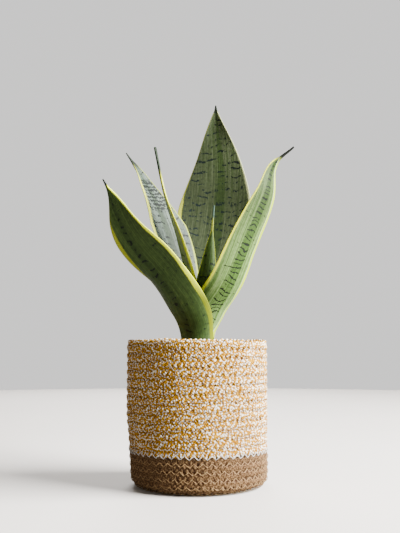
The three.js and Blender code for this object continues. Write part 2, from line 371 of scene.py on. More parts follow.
class NodeBench:
    """Adds nodes to one tree and wires them."""

    def __init__(self, tree: Tree) -> None:
        """Takes the tree to work in.

        Args:
            tree: A material's or a group's node tree.
        """
        self.tree = tree

    def node(self, kind: str, **settings: object) -> bpy.types.Node:
        """Adds a node.

        Args:
            kind: The node's type.
            settings: Properties to set on it.

        Returns:
            The node.
        """
        made = self.tree.nodes.new(kind)
        for key, value in settings.items():
            setattr(made, key, value)
        return made

    def feed(self, socket: Socket, value: object) -> None:
        """Links or sets an input.

        Args:
            socket: The input.
            value: An output to link, or a plain value.
        """
        if isinstance(value, Socket):
            self.tree.links.new(value, socket)
        elif value is not None:
            socket.default_value = value

    def math(self, operation: str, *terms: object) -> Socket:
        """Adds a math node.

        Args:
            operation: The node's operation.
            terms: Its inputs in order.

        Returns:
            The result.
        """
        made = self.node("ShaderNodeMath", operation=operation)
        for socket, value in zip(made.inputs, terms):
            self.feed(socket, value)
        return made.outputs[0]

    def product(self, first: object, second: object) -> Socket:
        """Multiplies two numbers."""
        return self.math("MULTIPLY", first, second)

    def total(self, first: object, second: object) -> Socket:
        """Adds two numbers."""
        return self.math("ADD", first, second)

    def difference(self, first: object, second: object) -> Socket:
        """Subtracts the second number from the first."""
        return self.math("SUBTRACT", first, second)

    def scaled(self, value: object, factor: object, shift: object) -> Socket:
        """Multiplies a number by a factor and adds a shift."""
        return self.math("MULTIPLY_ADD", value, factor, shift)

    def span(
        self, value: object, low: object, high: object, start: object = 0.0, end: object = 1.0
    ) -> Socket:
        """Maps a range smoothly onto another.

        Args:
            value: The number to map.
            low: Where the range starts.
            high: Where it ends.
            start: Result at the low end.
            end: Result at the high end.

        Returns:
            The mapped number.
        """
        made = self.node("ShaderNodeMapRange", interpolation_type="SMOOTHSTEP")
        keys = ("Value", "From Min", "From Max", "To Min", "To Max")
        for key, item in zip(keys, (value, low, high, start, end)):
            self.feed(made.inputs[key], item)
        return made.outputs[0]

    def blend(self, share: object, first: object, second: object, kind: str = "MIX") -> Socket:
        """Mixes two colours.

        Args:
            share: How much of the second.
            first: The first colour.
            second: The second colour.
            kind: The blend type.

        Returns:
            The mixed colour.
        """
        made = self.node("ShaderNodeMix", data_type="RGBA", blend_type=kind)
        self.feed(made.inputs[0], share)
        self.feed(made.inputs[6], first)
        self.feed(made.inputs[7], second)
        return made.outputs[2]

    def vector(self, x: object, y: object, z: object) -> Socket:
        """Puts three numbers together.

        Args:
            x: The first number.
            y: The second number.
            z: The third number.

        Returns:
            Their vector, which is a place in a pattern or a colour.
        """
        made = self.node("ShaderNodeCombineXYZ")
        for socket, value in zip(made.inputs, (x, y, z)):
            self.feed(socket, value)
        return made.outputs[0]

    def shaded(self, colour: object, shade: object) -> Socket:
        """Multiplies a colour by a shade, where 1 leaves it as it is."""
        return self.blend(1.0, colour, self.vector(shade, shade, shade), "MULTIPLY")

    def noise(self, place: object, scale: float = 1.0, detail: float = 2.0, roughness: float = 0.5) -> Socket:
        """Adds a cloudy noise.

        Args:
            place: The pattern's coordinates.
            scale: Its scale.
            detail: Its number of octaves.
            roughness: How strong the finer octaves are.

        Returns:
            The noise, from 0 to 1.
        """
        made = self.node("ShaderNodeTexNoise")
        self.feed(made.inputs["Vector"], place)
        made.inputs["Scale"].default_value = scale
        made.inputs["Detail"].default_value = detail
        made.inputs["Roughness"].default_value = roughness
        return made.outputs[0]

    def attribute(self, name: str) -> Socket:
        """Reads a number stored on the mesh."""
        made = self.node("ShaderNodeAttribute", attribute_name=name)
        return made.outputs["Fac"]

    def uv(self, name: str) -> tuple[Socket, Socket]:
        """Reads a UV map.

        Args:
            name: The map's name.

        Returns:
            U and V.
        """
        parts = self.node("ShaderNodeSeparateXYZ")
        self.feed(parts.inputs[0], self.node("ShaderNodeUVMap", uv_map=name).outputs[0])
        return parts.outputs[0], parts.outputs[1]

    def object_place(self) -> Socket:
        """Reads the object's own coordinates."""
        return self.node("ShaderNodeTexCoord").outputs["Object"]


class Kind(Enum):
    """Kinds of socket that a node group may have."""

    VALUE = "NodeSocketFloat"
    COLOUR = "NodeSocketColor"


class GroupBench(NodeBench):
    """Builds a shader node group with named inputs and outputs."""

    def __init__(self, name: str, takes: dict[str, Kind], gives: dict[str, Kind]) -> None:
        """Makes the group and its sockets.

        Args:
            name: The group's name.
            takes: Kind of each input by name.
            gives: Kind of each output by name.
        """
        group = bpy.data.node_groups.new(name, "ShaderNodeTree")
        for way, sockets in (("INPUT", takes), ("OUTPUT", gives)):
            for key, kind in sockets.items():
                group.interface.new_socket(label(key), in_out=way, socket_type=kind.value)
        super().__init__(group)
        self.taken = self.node("NodeGroupInput").outputs
        self.given = self.node("NodeGroupOutput").inputs

    def take(self, key: str) -> Socket:
        """Gives what the group takes in under a name."""
        return self.taken[label(key)]

    def give(self, **values: object) -> Tree:
        """Wires the outputs.

        Args:
            values: What each output carries, by name.

        Returns:
            The finished group.
        """
        for key, value in values.items():
            self.feed(self.given[label(key)], value)
        return self.tree


class MaterialBench(NodeBench):
    """Builds a material round one Principled shader."""

    def __init__(self, name: str) -> None:
        """Makes the material.

        Args:
            name: The material's name.
        """
        self.material = bpy.data.materials.new(name)
        self.material.use_nodes = True
        super().__init__(self.material.node_tree)
        self.shader = self.tree.nodes["Principled BSDF"]

    def use(self, group: Tree, **values: object) -> bpy.types.Node:
        """Places a node group.

        Args:
            group: The group.
            values: Its inputs by name.

        Returns:
            The group's node.
        """
        made = self.node("ShaderNodeGroup", node_tree=group)
        for key, value in values.items():
            self.feed(made.inputs[label(key)], value)
        return made

    def surface(self, **values: object) -> None:
        """Feeds the shader.

        Args:
            values: Inputs by name, with underscores for spaces.
        """
        for key, value in values.items():
            self.feed(self.shader.inputs[key.replace("_", " ")], value)

    def bump(self, height: object, distance: float) -> Socket:
        """Raises the surface by a height pattern.

        Args:
            height: The pattern.
            distance: Its depth in millimetres.

        Returns:
            The normal.
        """
        made = self.node("ShaderNodeBump")
        made.inputs["Distance"].default_value = distance * MM
        self.feed(made.inputs["Height"], height)
        return made.outputs[0]


Colour = tuple[float, float, float, float]


def tint(red: int, green: int, blue: int) -> Colour:
    """Turns a colour as seen on a screen into the linear one that shaders use.

    Args:
        red: Red from 0 to 255.
        green: Green from 0 to 255.
        blue: Blue from 0 to 255.

    Returns:
        The linear colour with full opacity.
    """
    channels = []
    for value in (red, green, blue):
        share = value / 255.0
        channels.append(share / 12.92 if share <= 0.04045 else ((share + 0.055) / 1.055) ** 2.4)
    return (*channels, 1.0)


def twisted_yarn_group() -> Tree:
    """Builds the look of yarn spun from two plies that wind round each other.

    Returns:
        The group. Ply swings from -1 on one ply to 1 on the other, Height is for bump, Shade is
        painted shade on the flanks of the yarn and in the creases between its plies, mixed with the
        fibres' own uneven tone, and Blotch and Fleck change slowly along the yarn.
    """
    takes = dict.fromkeys(("along", "around", "yarn", "turns_per_mm"), Kind.VALUE)
    gives = dict.fromkeys(("ply", "height", "shade", "blotch", "fleck"), Kind.VALUE)
    bench = GroupBench("TwistedYarn", takes, gives)
    along, around, yarn = bench.take("along"), bench.take("around"), bench.take("yarn")

    def slow_noise(pitch: float, shift: float, detail: float, roughness: float) -> Socket:
        """Adds a noise that changes slowly along each yarn.

        Args:
            pitch: Its changes in each millimetre.
            shift: What sets it apart from the other noises.
            detail: Its number of octaves.
            roughness: How strong the finer octaves are.

        Returns:
            The noise, from 0 to 1.
        """
        place = bench.vector(bench.product(along, pitch), yarn, shift)
        return bench.noise(place, detail=detail, roughness=roughness)

    blotch = slow_noise(0.13, 0.0, 2.0, 0.55)
    slack = slow_noise(0.3, 4.0, 1.0, 0.5)
    fleck = slow_noise(0.5, 8.0, 1.0, 0.5)
    turned = bench.scaled(along, bench.take("turns_per_mm"), bench.product(around, 0.16))
    wound = bench.total(turned, bench.scaled(slack, 0.9, yarn))
    ply = bench.math("SINE", bench.product(wound, TURN))
    crest = bench.math("ABSOLUTE", ply)
    fibre_place = bench.vector(bench.product(wound, 9.0), bench.product(along, 0.5), yarn)
    fibres = bench.noise(fibre_place, detail=3.0, roughness=0.6)
    # Painted shade: the flanks of each yarn and the creases between its plies are darkened, while the fibres
    # add their own uneven tone.
    top = bench.math("ABSOLUTE", bench.math("SINE", bench.product(around, TURN)))
    painted_flank_shade = bench.span(top, 0.15, 0.8, 0.2, 1.0)
    painted_crease_shade = bench.span(crest, 0.0, 0.45, 0.4, 1.0)
    painted_shade_and_fibre_tone = bench.product(painted_crease_shade, bench.span(fibres, 0.25, 0.75, 0.8, 1.1))
    return bench.give(
        ply=ply,
        height=bench.scaled(fibres, 0.5, crest),
        shade=bench.product(painted_shade_and_fibre_tone, painted_flank_shade),
        blotch=blotch,
        fleck=fleck,
    )


# Basket


@dataclass(frozen=True)
class BasketWall:
    """Outer face of the basket, unrolled from the edge of its flat base up to the rim."""

    height: float = 160.0
    rim_radius: float = 80.0
    band_edge_radius: float = 78.0
    band_edge_height: float = 40.0
    straight_from: float = 85.0
    foot_radius: float = 76.5
    foot_rounding: float = 12.0
    thickness: float = 6.5
    base_thickness: float = 5.0
    slouch: float = 2.6
    slouch_height: float = 95.0

    @property
    def flat_radius(self) -> float:
        """Radius of the flat part of the underside."""
        return self.foot_radius - self.foot_rounding

    @property
    def bend_length(self) -> float:
        """Way up the wall over the rounded foot."""
        return self.foot_rounding * math.pi / 2.0

    def station(self, height: float) -> float:
        """Gives the way up the wall to a height on its straight part."""
        return self.bend_length + height - self.foot_rounding

    def _outline(self, way: np.ndarray) -> tuple[np.ndarray, np.ndarray]:
        """Gives radius and height of the outer face.

        Args:
            way: Way up the wall in millimetres, negative on the underside.

        Returns:
            Radius and height.
        """
        bend = np.clip(way / self.foot_rounding, 0.0, math.pi / 2.0)
        height = self.foot_rounding * (1.0 - np.cos(bend)) + np.maximum(way - self.bend_length, 0.0)
        low = self.band_edge_radius - self.foot_radius
        lean = low * np.minimum(height, self.band_edge_height) / self.band_edge_height
        high = self.rim_radius - self.band_edge_radius
        share = soft_step((height - self.band_edge_height) / (self.straight_from - self.band_edge_height))
        radius = self.flat_radius + self.foot_rounding * np.sin(bend) + np.minimum(way, 0.0)
        return radius + lean + high * share, height

    def place(self, angle: np.ndarray, way: np.ndarray, out: np.ndarray) -> np.ndarray:
        """Gives points in space.

        Args:
            angle: Angle round the basket in radians.
            way: Way up the wall.
            out: Distance out from the wall's outer face.

        Returns:
            One point a row, in millimetres.
        """
        radius, height = self._outline(way)
        step = 0.25
        ahead_radius, ahead_height = self._outline(way + step)
        back_radius, back_height = self._outline(way - step)
        run_radius, run_height = ahead_radius - back_radius, ahead_height - back_height
        length = np.hypot(run_radius, run_height)
        radius = radius + out * run_height / length
        height = height - out * run_radius / length
        aside = self.slouch * soft_step(1.0 - height / self.slouch_height)
        return np.stack([radius * np.cos(angle) + aside, radius * np.sin(angle), height], 1)

    def reach(self, way: float) -> float:
        """Gives how far the outer face lies from the axis on the side of the slouch."""
        return float(self.place(np.zeros(1), np.array([way]), np.zeros(1))[0, 0])

    def repeats(self, way: float, length: float) -> int:
        """Gives how many times a pattern of some length fits round the wall."""
        return round(TURN * self.reach(way) / length)


@dataclass(frozen=True)
class PlaitSizes:
    """Sizes of a flat plait, whose strands are each two or three yarns side by side."""

    row_width: float
    repeat_length: float
    yarn_width: float = 1.3
    yarn_depth: float = 2.3
    yarn_pitch: float = 1.42
    rise: float = 1.75
    strands: int = 3
    yarns: int = 3
    steps_in_repeat: int = 12
    sides: int = 5
    overlap: float = 0.1
    tilt: float = 0.0

    @property
    def swing(self) -> float:
        """Half of what a strand's middle swings across the row."""
        outermost = self.beside(self.yarns - 1)
        return self.row_width / 2.0 - outermost - self.yarn_width / 2.0 + self.overlap

    @property
    def yarns_in_row(self) -> int:
        """Number of yarns in one row."""
        return self.strands * self.yarns

    def beside(self, yarn: int) -> float:
        """Gives how far a yarn lies from the middle of its strand."""
        return (yarn - (self.yarns - 1) / 2.0) * self.yarn_pitch

    def strand_phase(self, strand: int) -> float:
        """Gives how far a strand is ahead of the first one."""
        return strand * TURN / self.strands


@dataclass(frozen=True)
class PlaitRow:
    """One row of plait on the basket."""

    way: float
    seed: int


class Spool:
    """Yarns or threads of one piece, each rolled from the same flat sheet of faces."""

    DYE_STEP = 0.618034
    STRIP_GAP = 0.1
    STRIP_END = 0.002

    def __init__(self, name: str, wall: BasketWall, count: int, steps: int, sides: int) -> None:
        """Models the straight sheet once.

        Args:
            name: Name of the piece.
            wall: The wall that the yarns are laid on.
            count: How many yarns the piece will have.
            steps: Number of faces along each.
            sides: Number of faces around it.
        """
        self.name = name
        self.wall = wall
        self.count = count
        self.steps = steps
        self.yarns: list[Piece] = []
        self.sheet = flat_sheet(name + "_sheet", steps, sides)
        self.sheet.data.uv_layers[0].name = "Yarn"
        self.along, self.around = sheet_shares(self.sheet)
        self.corner_along, self.corner_around = corner_uv(self.sheet)

    def lay(
        self,
        angle: np.ndarray,
        way: np.ndarray,
        out: np.ndarray,
        width: np.ndarray | float,
        depth: float,
        open_length: float | None = None,
    ) -> None:
        """Copies the sheet and rolls it round a path on the wall.

        Args:
            angle: Angles of the path, one more than the sheet has faces along.
            way: Way up the wall at each angle.
            out: Distance out from the wall's outer face at each angle.
            width: Full width of the section within that face, at each angle or all along.
            depth: Its full depth, out of that face.
            open_length: Length of a yarn with two ends, or None for one that ends where it starts.
        """
        path = self.wall.place(angle, way, out)
        outward = self.wall.place(angle, way, out + 1.0) - path
        fullness = np.ones(len(path))
        if open_length is None:
            path[-1] = path[0]
            outward[-1] = outward[0]
            run = np.roll(path[:-1], -1, 0) - np.roll(path[:-1], 1, 0)
            run = np.vstack([run, run[:1]])
            length = float(np.linalg.norm(np.diff(path, axis=0), axis=1).sum())
        else:
            run = np.gradient(path, axis=0)
            fullness[[0, -1]] = 0.0
            length = open_length
        run = unit(run)
        side = unit(np.cross(outward, run))
        up = np.cross(run, side)
        row = np.rint(self.along * self.steps).astype(int)
        turn = -TURN * self.around
        breadth = (fullness * width / 2.0)[row] * np.cos(turn)
        rise = (fullness * depth / 2.0)[row] * np.sin(turn)
        yarn = copied(self.sheet, f"{self.name}_{len(self.yarns)}")
        lay_points(yarn, path[row] + side[row] * breadth[:, None] + up[row] * rise[:, None])
        self._number(yarn, length)
        self.yarns.append(yarn)

    def _number(self, yarn: Piece, length: float) -> None:
        """Stores a yarn's number and lays its strips of UV.

        Args:
            yarn: The yarn, which is the next one of the piece.
            length: Its length in millimetres.
        """
        number = len(self.yarns)
        write_attribute(yarn, "yarn", float(number))
        write_attribute(yarn, "dye", (number * self.DYE_STEP) % 1.0)
        write_uv(yarn, "Yarn", self.corner_along * length, self.corner_around)
        strip = number + self.STRIP_GAP + (1.0 - 2.0 * self.STRIP_GAP) * self.corner_around
        lengthways = self.STRIP_END + (1.0 - 2.0 * self.STRIP_END) * self.corner_along
        write_uv(yarn, "OFBake", lengthways, strip / self.count)

    def piece(self) -> Piece:
        """Joins the yarns and removes the sheet.

        Returns:
            The piece.
        """
        bpy.data.objects.remove(self.sheet, do_unlink=True)
        whole = joined(self.yarns, self.name)
        weld(whole)
        smooth_faces(whole)
        return whole


@dataclass
class PlaitedBand:
    """Rows of plait stitched one on another round the basket."""

    wall: BasketWall
    sizes: PlaitSizes
    rows: list[PlaitRow]
    slump: Drift = Drift(0.4, (3, 5, 8, 13), 11)
    bulge: Drift = Drift(0.25, (2, 3, 7, 12, 19), 23)
    hurry: Drift = Drift(0.9, (3, 5, 9, 15))
    aside: Drift = Drift(0.1, (11, 17, 29))
    lift: Drift = Drift(0.12, (14, 23, 31))
    swell: Drift = Drift(0.1, (13, 21, 37))
    row_phase: float = 1.7
    crown_drop: float = 0.1
    yarn_seeds: tuple[int, int] = (1, 9999)

    def _lay_yarn(
        self, spool: Spool, row: PlaitRow, repeats: int, strand: int, yarn: int, draw: np.random.Generator
    ) -> None:
        """Lays one yarn round the basket.

        Args:
            spool: The piece's yarns.
            row: The row that it is in.
            repeats: How many times the plait repeats in the row.
            strand: Which strand it belongs to.
            yarn: Which yarn of the strand it is.
            draw: Source of the small irregularities.
        """
        sizes = self.sizes
        angle = np.linspace(0.0, TURN, spool.steps + 1)
        radius = self.wall.reach(row.way)
        hurry = self.hurry.seeded(row.seed).at(angle)
        phase = repeats * angle + sizes.strand_phase(strand) + row.seed * self.row_phase + hurry
        lean = np.arctan(sizes.swing * np.cos(phase) * repeats / radius)
        aside = self.aside.seeded(int(draw.integers(*self.yarn_seeds)))
        beside = sizes.beside(yarn) + aside.at(angle)
        turned = angle - beside * np.sin(lean) / radius
        across = sizes.swing * np.sin(phase) + beside * np.cos(lean)
        way = row.way + across + self.slump.at(angle, row.way)
        crown = 1.0 - self.crown_drop * (beside / sizes.yarn_pitch) ** 2
        rise = sizes.rise * np.sin(2.0 * phase) * crown - sizes.tilt * np.sin(phase)
        lift = self.lift.seeded(int(draw.integers(*self.yarn_seeds)))
        out = rise + self.bulge.at(angle, row.way) + lift.at(angle) - self.wall.thickness / 2.0
        swell = self.swell.seeded(len(spool.yarns) + row.seed).at(angle)
        width = sizes.yarn_width * (1.0 + swell)
        spool.lay(turned, way, out, width, sizes.yarn_depth)

    def build(self, name: str) -> Piece:
        """Plaits the rows.

        Args:
            name: Name of the piece.

        Returns:
            The piece.
        """
        sizes = self.sizes
        middle = self.rows[len(self.rows) // 2]
        repeats = self.wall.repeats(middle.way, sizes.repeat_length)
        count = len(self.rows) * sizes.yarns_in_row
        spool = Spool(name, self.wall, count, repeats * sizes.steps_in_repeat, sizes.sides)
        for row in self.rows:
            draw = np.random.default_rng(row.seed)
            for strand in range(sizes.strands):
                for yarn in range(sizes.yarns):
                    self._lay_yarn(spool, row, repeats, strand, yarn, draw)
        return spool.piece()


@dataclass
class BaseCoil:
    """Plait wound as a flat spiral under the basket."""

    wall: BasketWall
    sizes: PlaitSizes
    outer_way: float
    inner_radius: float = 3.5
    tightest_turn: float = 6.0

    def build(self, name: str) -> Piece:
        """Winds the spiral.

        Args:
            name: Name of the piece.

        Returns:
            The piece.
        """
        sizes = self.sizes
        start = self.wall.flat_radius + self.outer_way
        sweep = (start - self.inner_radius) / sizes.row_width * TURN
        length = start * sweep - sizes.row_width * sweep**2 / (2.0 * TURN)
        steps = int(length / sizes.repeat_length * sizes.steps_in_repeat)
        travelled = np.linspace(0.0, length, steps + 1)
        root = np.sqrt(np.maximum(start**2 - 2.0 * sizes.row_width / TURN * travelled, 0.0))
        angle = (start - root) * TURN / sizes.row_width
        radius = start - sizes.row_width * angle / TURN
        spool = Spool(name, self.wall, sizes.yarns_in_row, steps, sizes.sides)
        for strand in range(sizes.strands):
            phase = TURN * travelled / sizes.repeat_length + sizes.strand_phase(strand)
            lean = np.arctan(sizes.swing * np.cos(phase) * TURN / sizes.repeat_length)
            out = sizes.rise * np.sin(2.0 * phase) - self.wall.base_thickness / 2.0
            for yarn in range(sizes.yarns):
                beside = sizes.beside(yarn)
                turned = angle - beside * np.sin(lean) / np.maximum(radius, self.tightest_turn)
                across = sizes.swing * np.sin(phase) + beside * np.cos(lean)
                way = radius - self.wall.flat_radius + across
                spool.lay(turned, way, out, sizes.yarn_width, sizes.yarn_depth, length)
        return spool.piece()


@dataclass
class ZigzagStitching:
    """Thread that sews each row of plait to the next in a zigzag."""

    wall: BasketWall
    seams: list[float]
    inside: bool = False
    stitch_length: float = 9.6
    swing: float = 2.3
    thread: float = 0.8
    proud: float = -0.15
    dip: float = 0.9
    dip_power: int = 6
    seam_shift: float = 0.37
    uneven: Drift = Drift(0.08, (9, 16, 27), 70)
    stray: Drift = Drift(0.25, (6, 11, 18), 90)
    steps_in_stitch: int = 8
    sides: int = 5

    def build(self, name: str) -> Piece:
        """Sews the seams.

        Args:
            name: Name of the piece.

        Returns:
            The piece.
        """
        stitches = self.wall.repeats(self.seams[len(self.seams) // 2], self.stitch_length)
        steps = stitches * self.steps_in_stitch
        spool = Spool(name, self.wall, len(self.seams), steps, self.sides)
        angle = np.linspace(0.0, TURN, steps + 1)
        beat = np.arange(steps + 1) / self.steps_in_stitch
        zigzag = 4.0 * np.abs(beat - np.floor(beat + 0.5)) - 1.0
        out = self.proud - self.dip * np.abs(zigzag) ** self.dip_power
        if self.inside:
            out = -self.wall.thickness - out
        for index, seam in enumerate(self.seams):
            swing = self.swing * (1.0 + self.uneven.seeded(self.uneven.seed + index).at(angle))
            stray = self.stray.seeded(self.stray.seed + index).at(angle)
            turned = angle + self.seam_shift * index * TURN / stitches
            spool.lay(turned, seam + swing * zigzag + stray, out, self.thread, self.thread)
        return spool.piece()


@dataclass
class GapShadeSheet:
    """Dark sheet behind the plait that closes its small gaps with painted shade, standing for the shadow
    between the yarns.
    """

    wall: BasketWall
    bottom: float
    top: float
    steps: int
    half_thickness: float = 0.5
    sides: int = 96

    def build(self, name: str) -> Piece:
        """Makes the thin closed shell.

        Args:
            name: Name of the piece.

        Returns:
            The piece.
        """
        loop = 2 * self.steps + 2
        shell = flat_sheet(name, self.sides, loop)
        around, across = sheet_shares(shell)
        place = np.rint(across * loop).astype(int) % loop
        outside = place <= self.steps
        share = np.where(outside, place, loop - 1 - place) / self.steps
        way = self.bottom + share * (self.top - self.bottom)
        middle = np.where(way < 0.0, self.wall.base_thickness, self.wall.thickness) / 2.0
        out = np.where(outside, self.half_thickness, -self.half_thickness) - middle
        lay_points(shell, self.wall.place(closed_turn(around), way, out))
        weld(shell, outward=True)
        smooth_faces(shell, 50.0)
        return shell


@dataclass(frozen=True)
class YarnFinish:
    """Finish of yarn that is dyed in short lengths, or of thread."""

    name: str
    light: Colour
    dull: Colour
    strong: Colour
    deep: Colour
    depth: float = 0.5
    light_share: float = 0.4
    wander: float = 1.0
    unlike: float = 0.0
    turns_per_mm: float = 0.9
    relief: float = 0.1
    edge: float = 0.18
    roughness: float = 0.92
    gloss: float = 0.2

    def material(self, yarn_group: Tree) -> Material:
        """Builds the material.

        Args:
            yarn_group: The node group of twisted yarn.

        Returns:
            The material.
        """
        bench = MaterialBench(self.name)
        along, around = bench.uv("Yarn")
        spun = bench.use(
            yarn_group,
            along=along,
            around=around,
            yarn=bench.attribute("yarn"),
            turns_per_mm=self.turns_per_mm,
        ).outputs
        bias = bench.scaled(spun["Blotch"], self.wander, -0.5 * self.wander)
        bias = bench.scaled(bench.attribute("dye"), self.unlike, bias)
        chosen = bench.total(spun["Ply"], bias)
        level = self.unlike / 2.0 + self.light_share
        strong = bench.blend(bench.span(spun["Fleck"], 0.42, 0.66, 0.0, self.depth), self.strong, self.deep)
        light = bench.blend(bench.span(spun["Fleck"], 0.34, 0.58, self.depth, 0.0), self.light, self.dull)
        colour = bench.blend(bench.span(chosen, level - self.edge, level + self.edge), light, strong)
        # Painted shade on the flanks and in the creases darkens the yarn's colour.
        colour = bench.shaded(colour, spun["Shade"])
        bench.surface(Base_Color=colour, Roughness=self.roughness, Specular_IOR_Level=self.gloss)
        bench.surface(Normal=bench.bump(spun["Height"], self.relief))
        return bench.material


PALE_YARN = YarnFinish(
    name="pale_braid", light=tint(252, 246, 232), dull=tint(186, 176, 164), strong=tint(194, 143, 0),
    deep=tint(140, 78, 0), depth=0.85, light_share=-0.54, wander=0.9, unlike=0.4, turns_per_mm=0.22,
    relief=0.25,
)
BROWN_YARN = YarnFinish(
    name="jute_braid", light=tint(142, 111, 75), dull=tint(116, 89, 60), strong=tint(100, 73, 47),
    deep=tint(70, 48, 30), depth=0.6, light_share=0.0, wander=2.0, unlike=0.6, turns_per_mm=0.24,
    relief=0.3,
)
WHITE_THREAD = YarnFinish(
    name="white_thread", light=tint(240, 238, 238), dull=tint(230, 226, 220), strong=tint(222, 214, 204),
    deep=tint(190, 178, 160),
)
TAN_THREAD = YarnFinish(
    name="tan_thread", light=tint(192, 158, 112), dull=tint(180, 146, 102), strong=tint(168, 134, 92),
    deep=tint(140, 108, 72),
)


@dataclass(frozen=True)
class GapShadeFinish:
    """Finish of the dark sheet inside the wall: painted shade between the yarns, with fibre grain."""

    name: str
    dark: Colour
    light: Colour
    scale: float = 600.0
    relief: float = 0.4
    roughness: float = 0.95

    def material(self) -> Material:
        """Builds the material.

        Returns:
            The material.
        """
        bench = MaterialBench(self.name)
        fibres = bench.noise(bench.object_place(), self.scale, 3.0, 0.6)
        colour = bench.blend(fibres, self.dark, self.light)
        bench.surface(Base_Color=colour, Roughness=self.roughness)
        bench.surface(Normal=bench.bump(fibres, self.relief))
        return bench.material


# Painted shade seen through the gaps between yarns: deep brown behind the brown band, and a warm orange-brown
# painted shade behind the pale one.
PALE_GAP_SHADE = GapShadeFinish("pale_gap_painted_shade", tint(104, 58, 14), tint(172, 118, 44))
BROWN_GAP_SHADE = GapShadeFinish("brown_gap_painted_shade", tint(46, 30, 18), tint(88, 58, 33))


@dataclass
class Basket:
    """Round plaited basket: a brown band below a pale one, over a coiled base."""

    wall: BasketWall = BasketWall()
    lower_rows: int = 5
    upper_rows: int = 13
    upper_plait: PlaitSizes = PlaitSizes(
        row_width=9.23, repeat_length=17.2, yarn_width=2.0, yarn_depth=2.6, yarn_pitch=2.1, rise=1.5,
        yarns=2, overlap=1.2, tilt=0.65,
    )
    lower_plait: PlaitSizes = PlaitSizes(
        row_width=8.0, repeat_length=14.4, yarn_width=1.1, yarn_depth=2.2, yarn_pitch=1.22, rise=1.7
    )
    coil_plait: PlaitSizes = replace(
        lower_plait, yarn_width=1.15, yarn_depth=1.9, rise=1.3, steps_in_repeat=8
    )
    rows_in_piece: int = 5
    upper_seed: int = 101
    lower_seed: int = 201
    shade_sheet_gap: float = 0.5
    core_below_rim: float = 3.0
    shade_sheet_hole: float = 1.0
    inner_seams: int = 4

    @property
    def edge(self) -> float:
        """Way up the wall to the edge between the two bands."""
        return self.wall.station(self.wall.band_edge_height)

    def _upper_ways(self, shift: float) -> list[float]:
        """Gives a place in each pale row, some share of its width above its lower edge."""
        return [self.edge + (row + shift) * self.upper_plait.row_width for row in range(self.upper_rows)]

    def _lower_ways(self, shift: float) -> list[float]:
        """Gives a place in each brown row, some share of its width below its upper edge."""
        return [self.edge - (row + shift) * self.lower_plait.row_width for row in range(self.lower_rows)]

    def build(self, yarn_group: Tree) -> None:
        """Makes the basket's pieces and dresses them.

        Args:
            yarn_group: The node group of twisted yarn.
        """
        pale, brown = PALE_YARN.material(yarn_group), BROWN_YARN.material(yarn_group)
        white, tan = WHITE_THREAD.material(yarn_group), TAN_THREAD.material(yarn_group)
        self._bands(pale, brown)
        self._gap_shade_sheets()
        self._stitching(pale, white, tan)

    def _bands(self, pale: Material, brown: Material) -> None:
        """Plaits the two bands and the base.

        Args:
            pale: Finish of the upper band.
            brown: Finish of the lower band and the base.
        """
        rows = [PlaitRow(way, self.upper_seed + row) for row, way in enumerate(self._upper_ways(0.5))]
        for piece, first in enumerate(range(0, self.upper_rows, self.rows_in_piece), 1):
            band = PlaitedBand(self.wall, self.upper_plait, rows[first:first + self.rows_in_piece])
            settle(band.build(f"upper_plait_{piece}"), pale, Slot.PALE_BRAID, UPPER_BAND)
        middles = self._lower_ways(0.5)
        rows = [PlaitRow(way, self.lower_seed + row) for row, way in enumerate(middles)]
        band = PlaitedBand(self.wall, self.lower_plait, rows)
        settle(band.build("lower_plait"), brown, Slot.JUTE_BRAID, LOWER_BAND)
        coil = BaseCoil(self.wall, self.coil_plait, middles[-1] - self.lower_plait.row_width)
        settle(coil.build("base_coil"), brown, Slot.JUTE_BRAID, LOWER_BAND)

    def _gap_shade_sheets(self) -> None:
        """Puts dark sheets of painted shade behind the plait."""
        start = self.shade_sheet_hole - self.wall.flat_radius
        lower = GapShadeSheet(self.wall, start, self.edge - self.shade_sheet_gap, steps=24).build("lower_core")
        settle(lower, BROWN_GAP_SHADE.material(), Slot.JUTE_BRAID, LOWER_BAND)
        rim = self.wall.station(self.wall.height)
        low, high = self.edge + self.shade_sheet_gap, rim - self.core_below_rim
        upper = GapShadeSheet(self.wall, low, high, steps=14).build("upper_gap_shade_sheet")
        settle(upper, PALE_GAP_SHADE.material(), Slot.PALE_BRAID, UPPER_BAND)

    def _stitching(self, pale: Material, white: Material, tan: Material) -> None:
        """Sews the rows together.

        Args:
            pale: Finish of the upper band, which its own thread takes.
            white: Thread at the edge between the bands and inside the rim.
            tan: Thread of the lower band.
        """
        upper, lower = self._upper_ways(0.0), self._lower_ways(1.0)
        seams = ZigzagStitching(self.wall, upper[1:], thread=0.65, proud=-0.9)
        settle(seams.build("upper_stitching"), pale, Slot.PALE_BRAID, UPPER_BAND)
        seams = ZigzagStitching(self.wall, upper[:1])
        settle(seams.build("edge_stitching"), white, Slot.PALE_BRAID, UPPER_BAND)
        seams = ZigzagStitching(self.wall, upper[-self.inner_seams:], inside=True)
        settle(seams.build("inner_stitching"), white, Slot.PALE_BRAID, UPPER_BAND)
        seams = ZigzagStitching(self.wall, lower, thread=0.55, swing=2.0, proud=-0.1)
        settle(seams.build("lower_stitching"), tan, Slot.JUTE_BRAID, LOWER_BAND)


# Nursery pot and potting mix


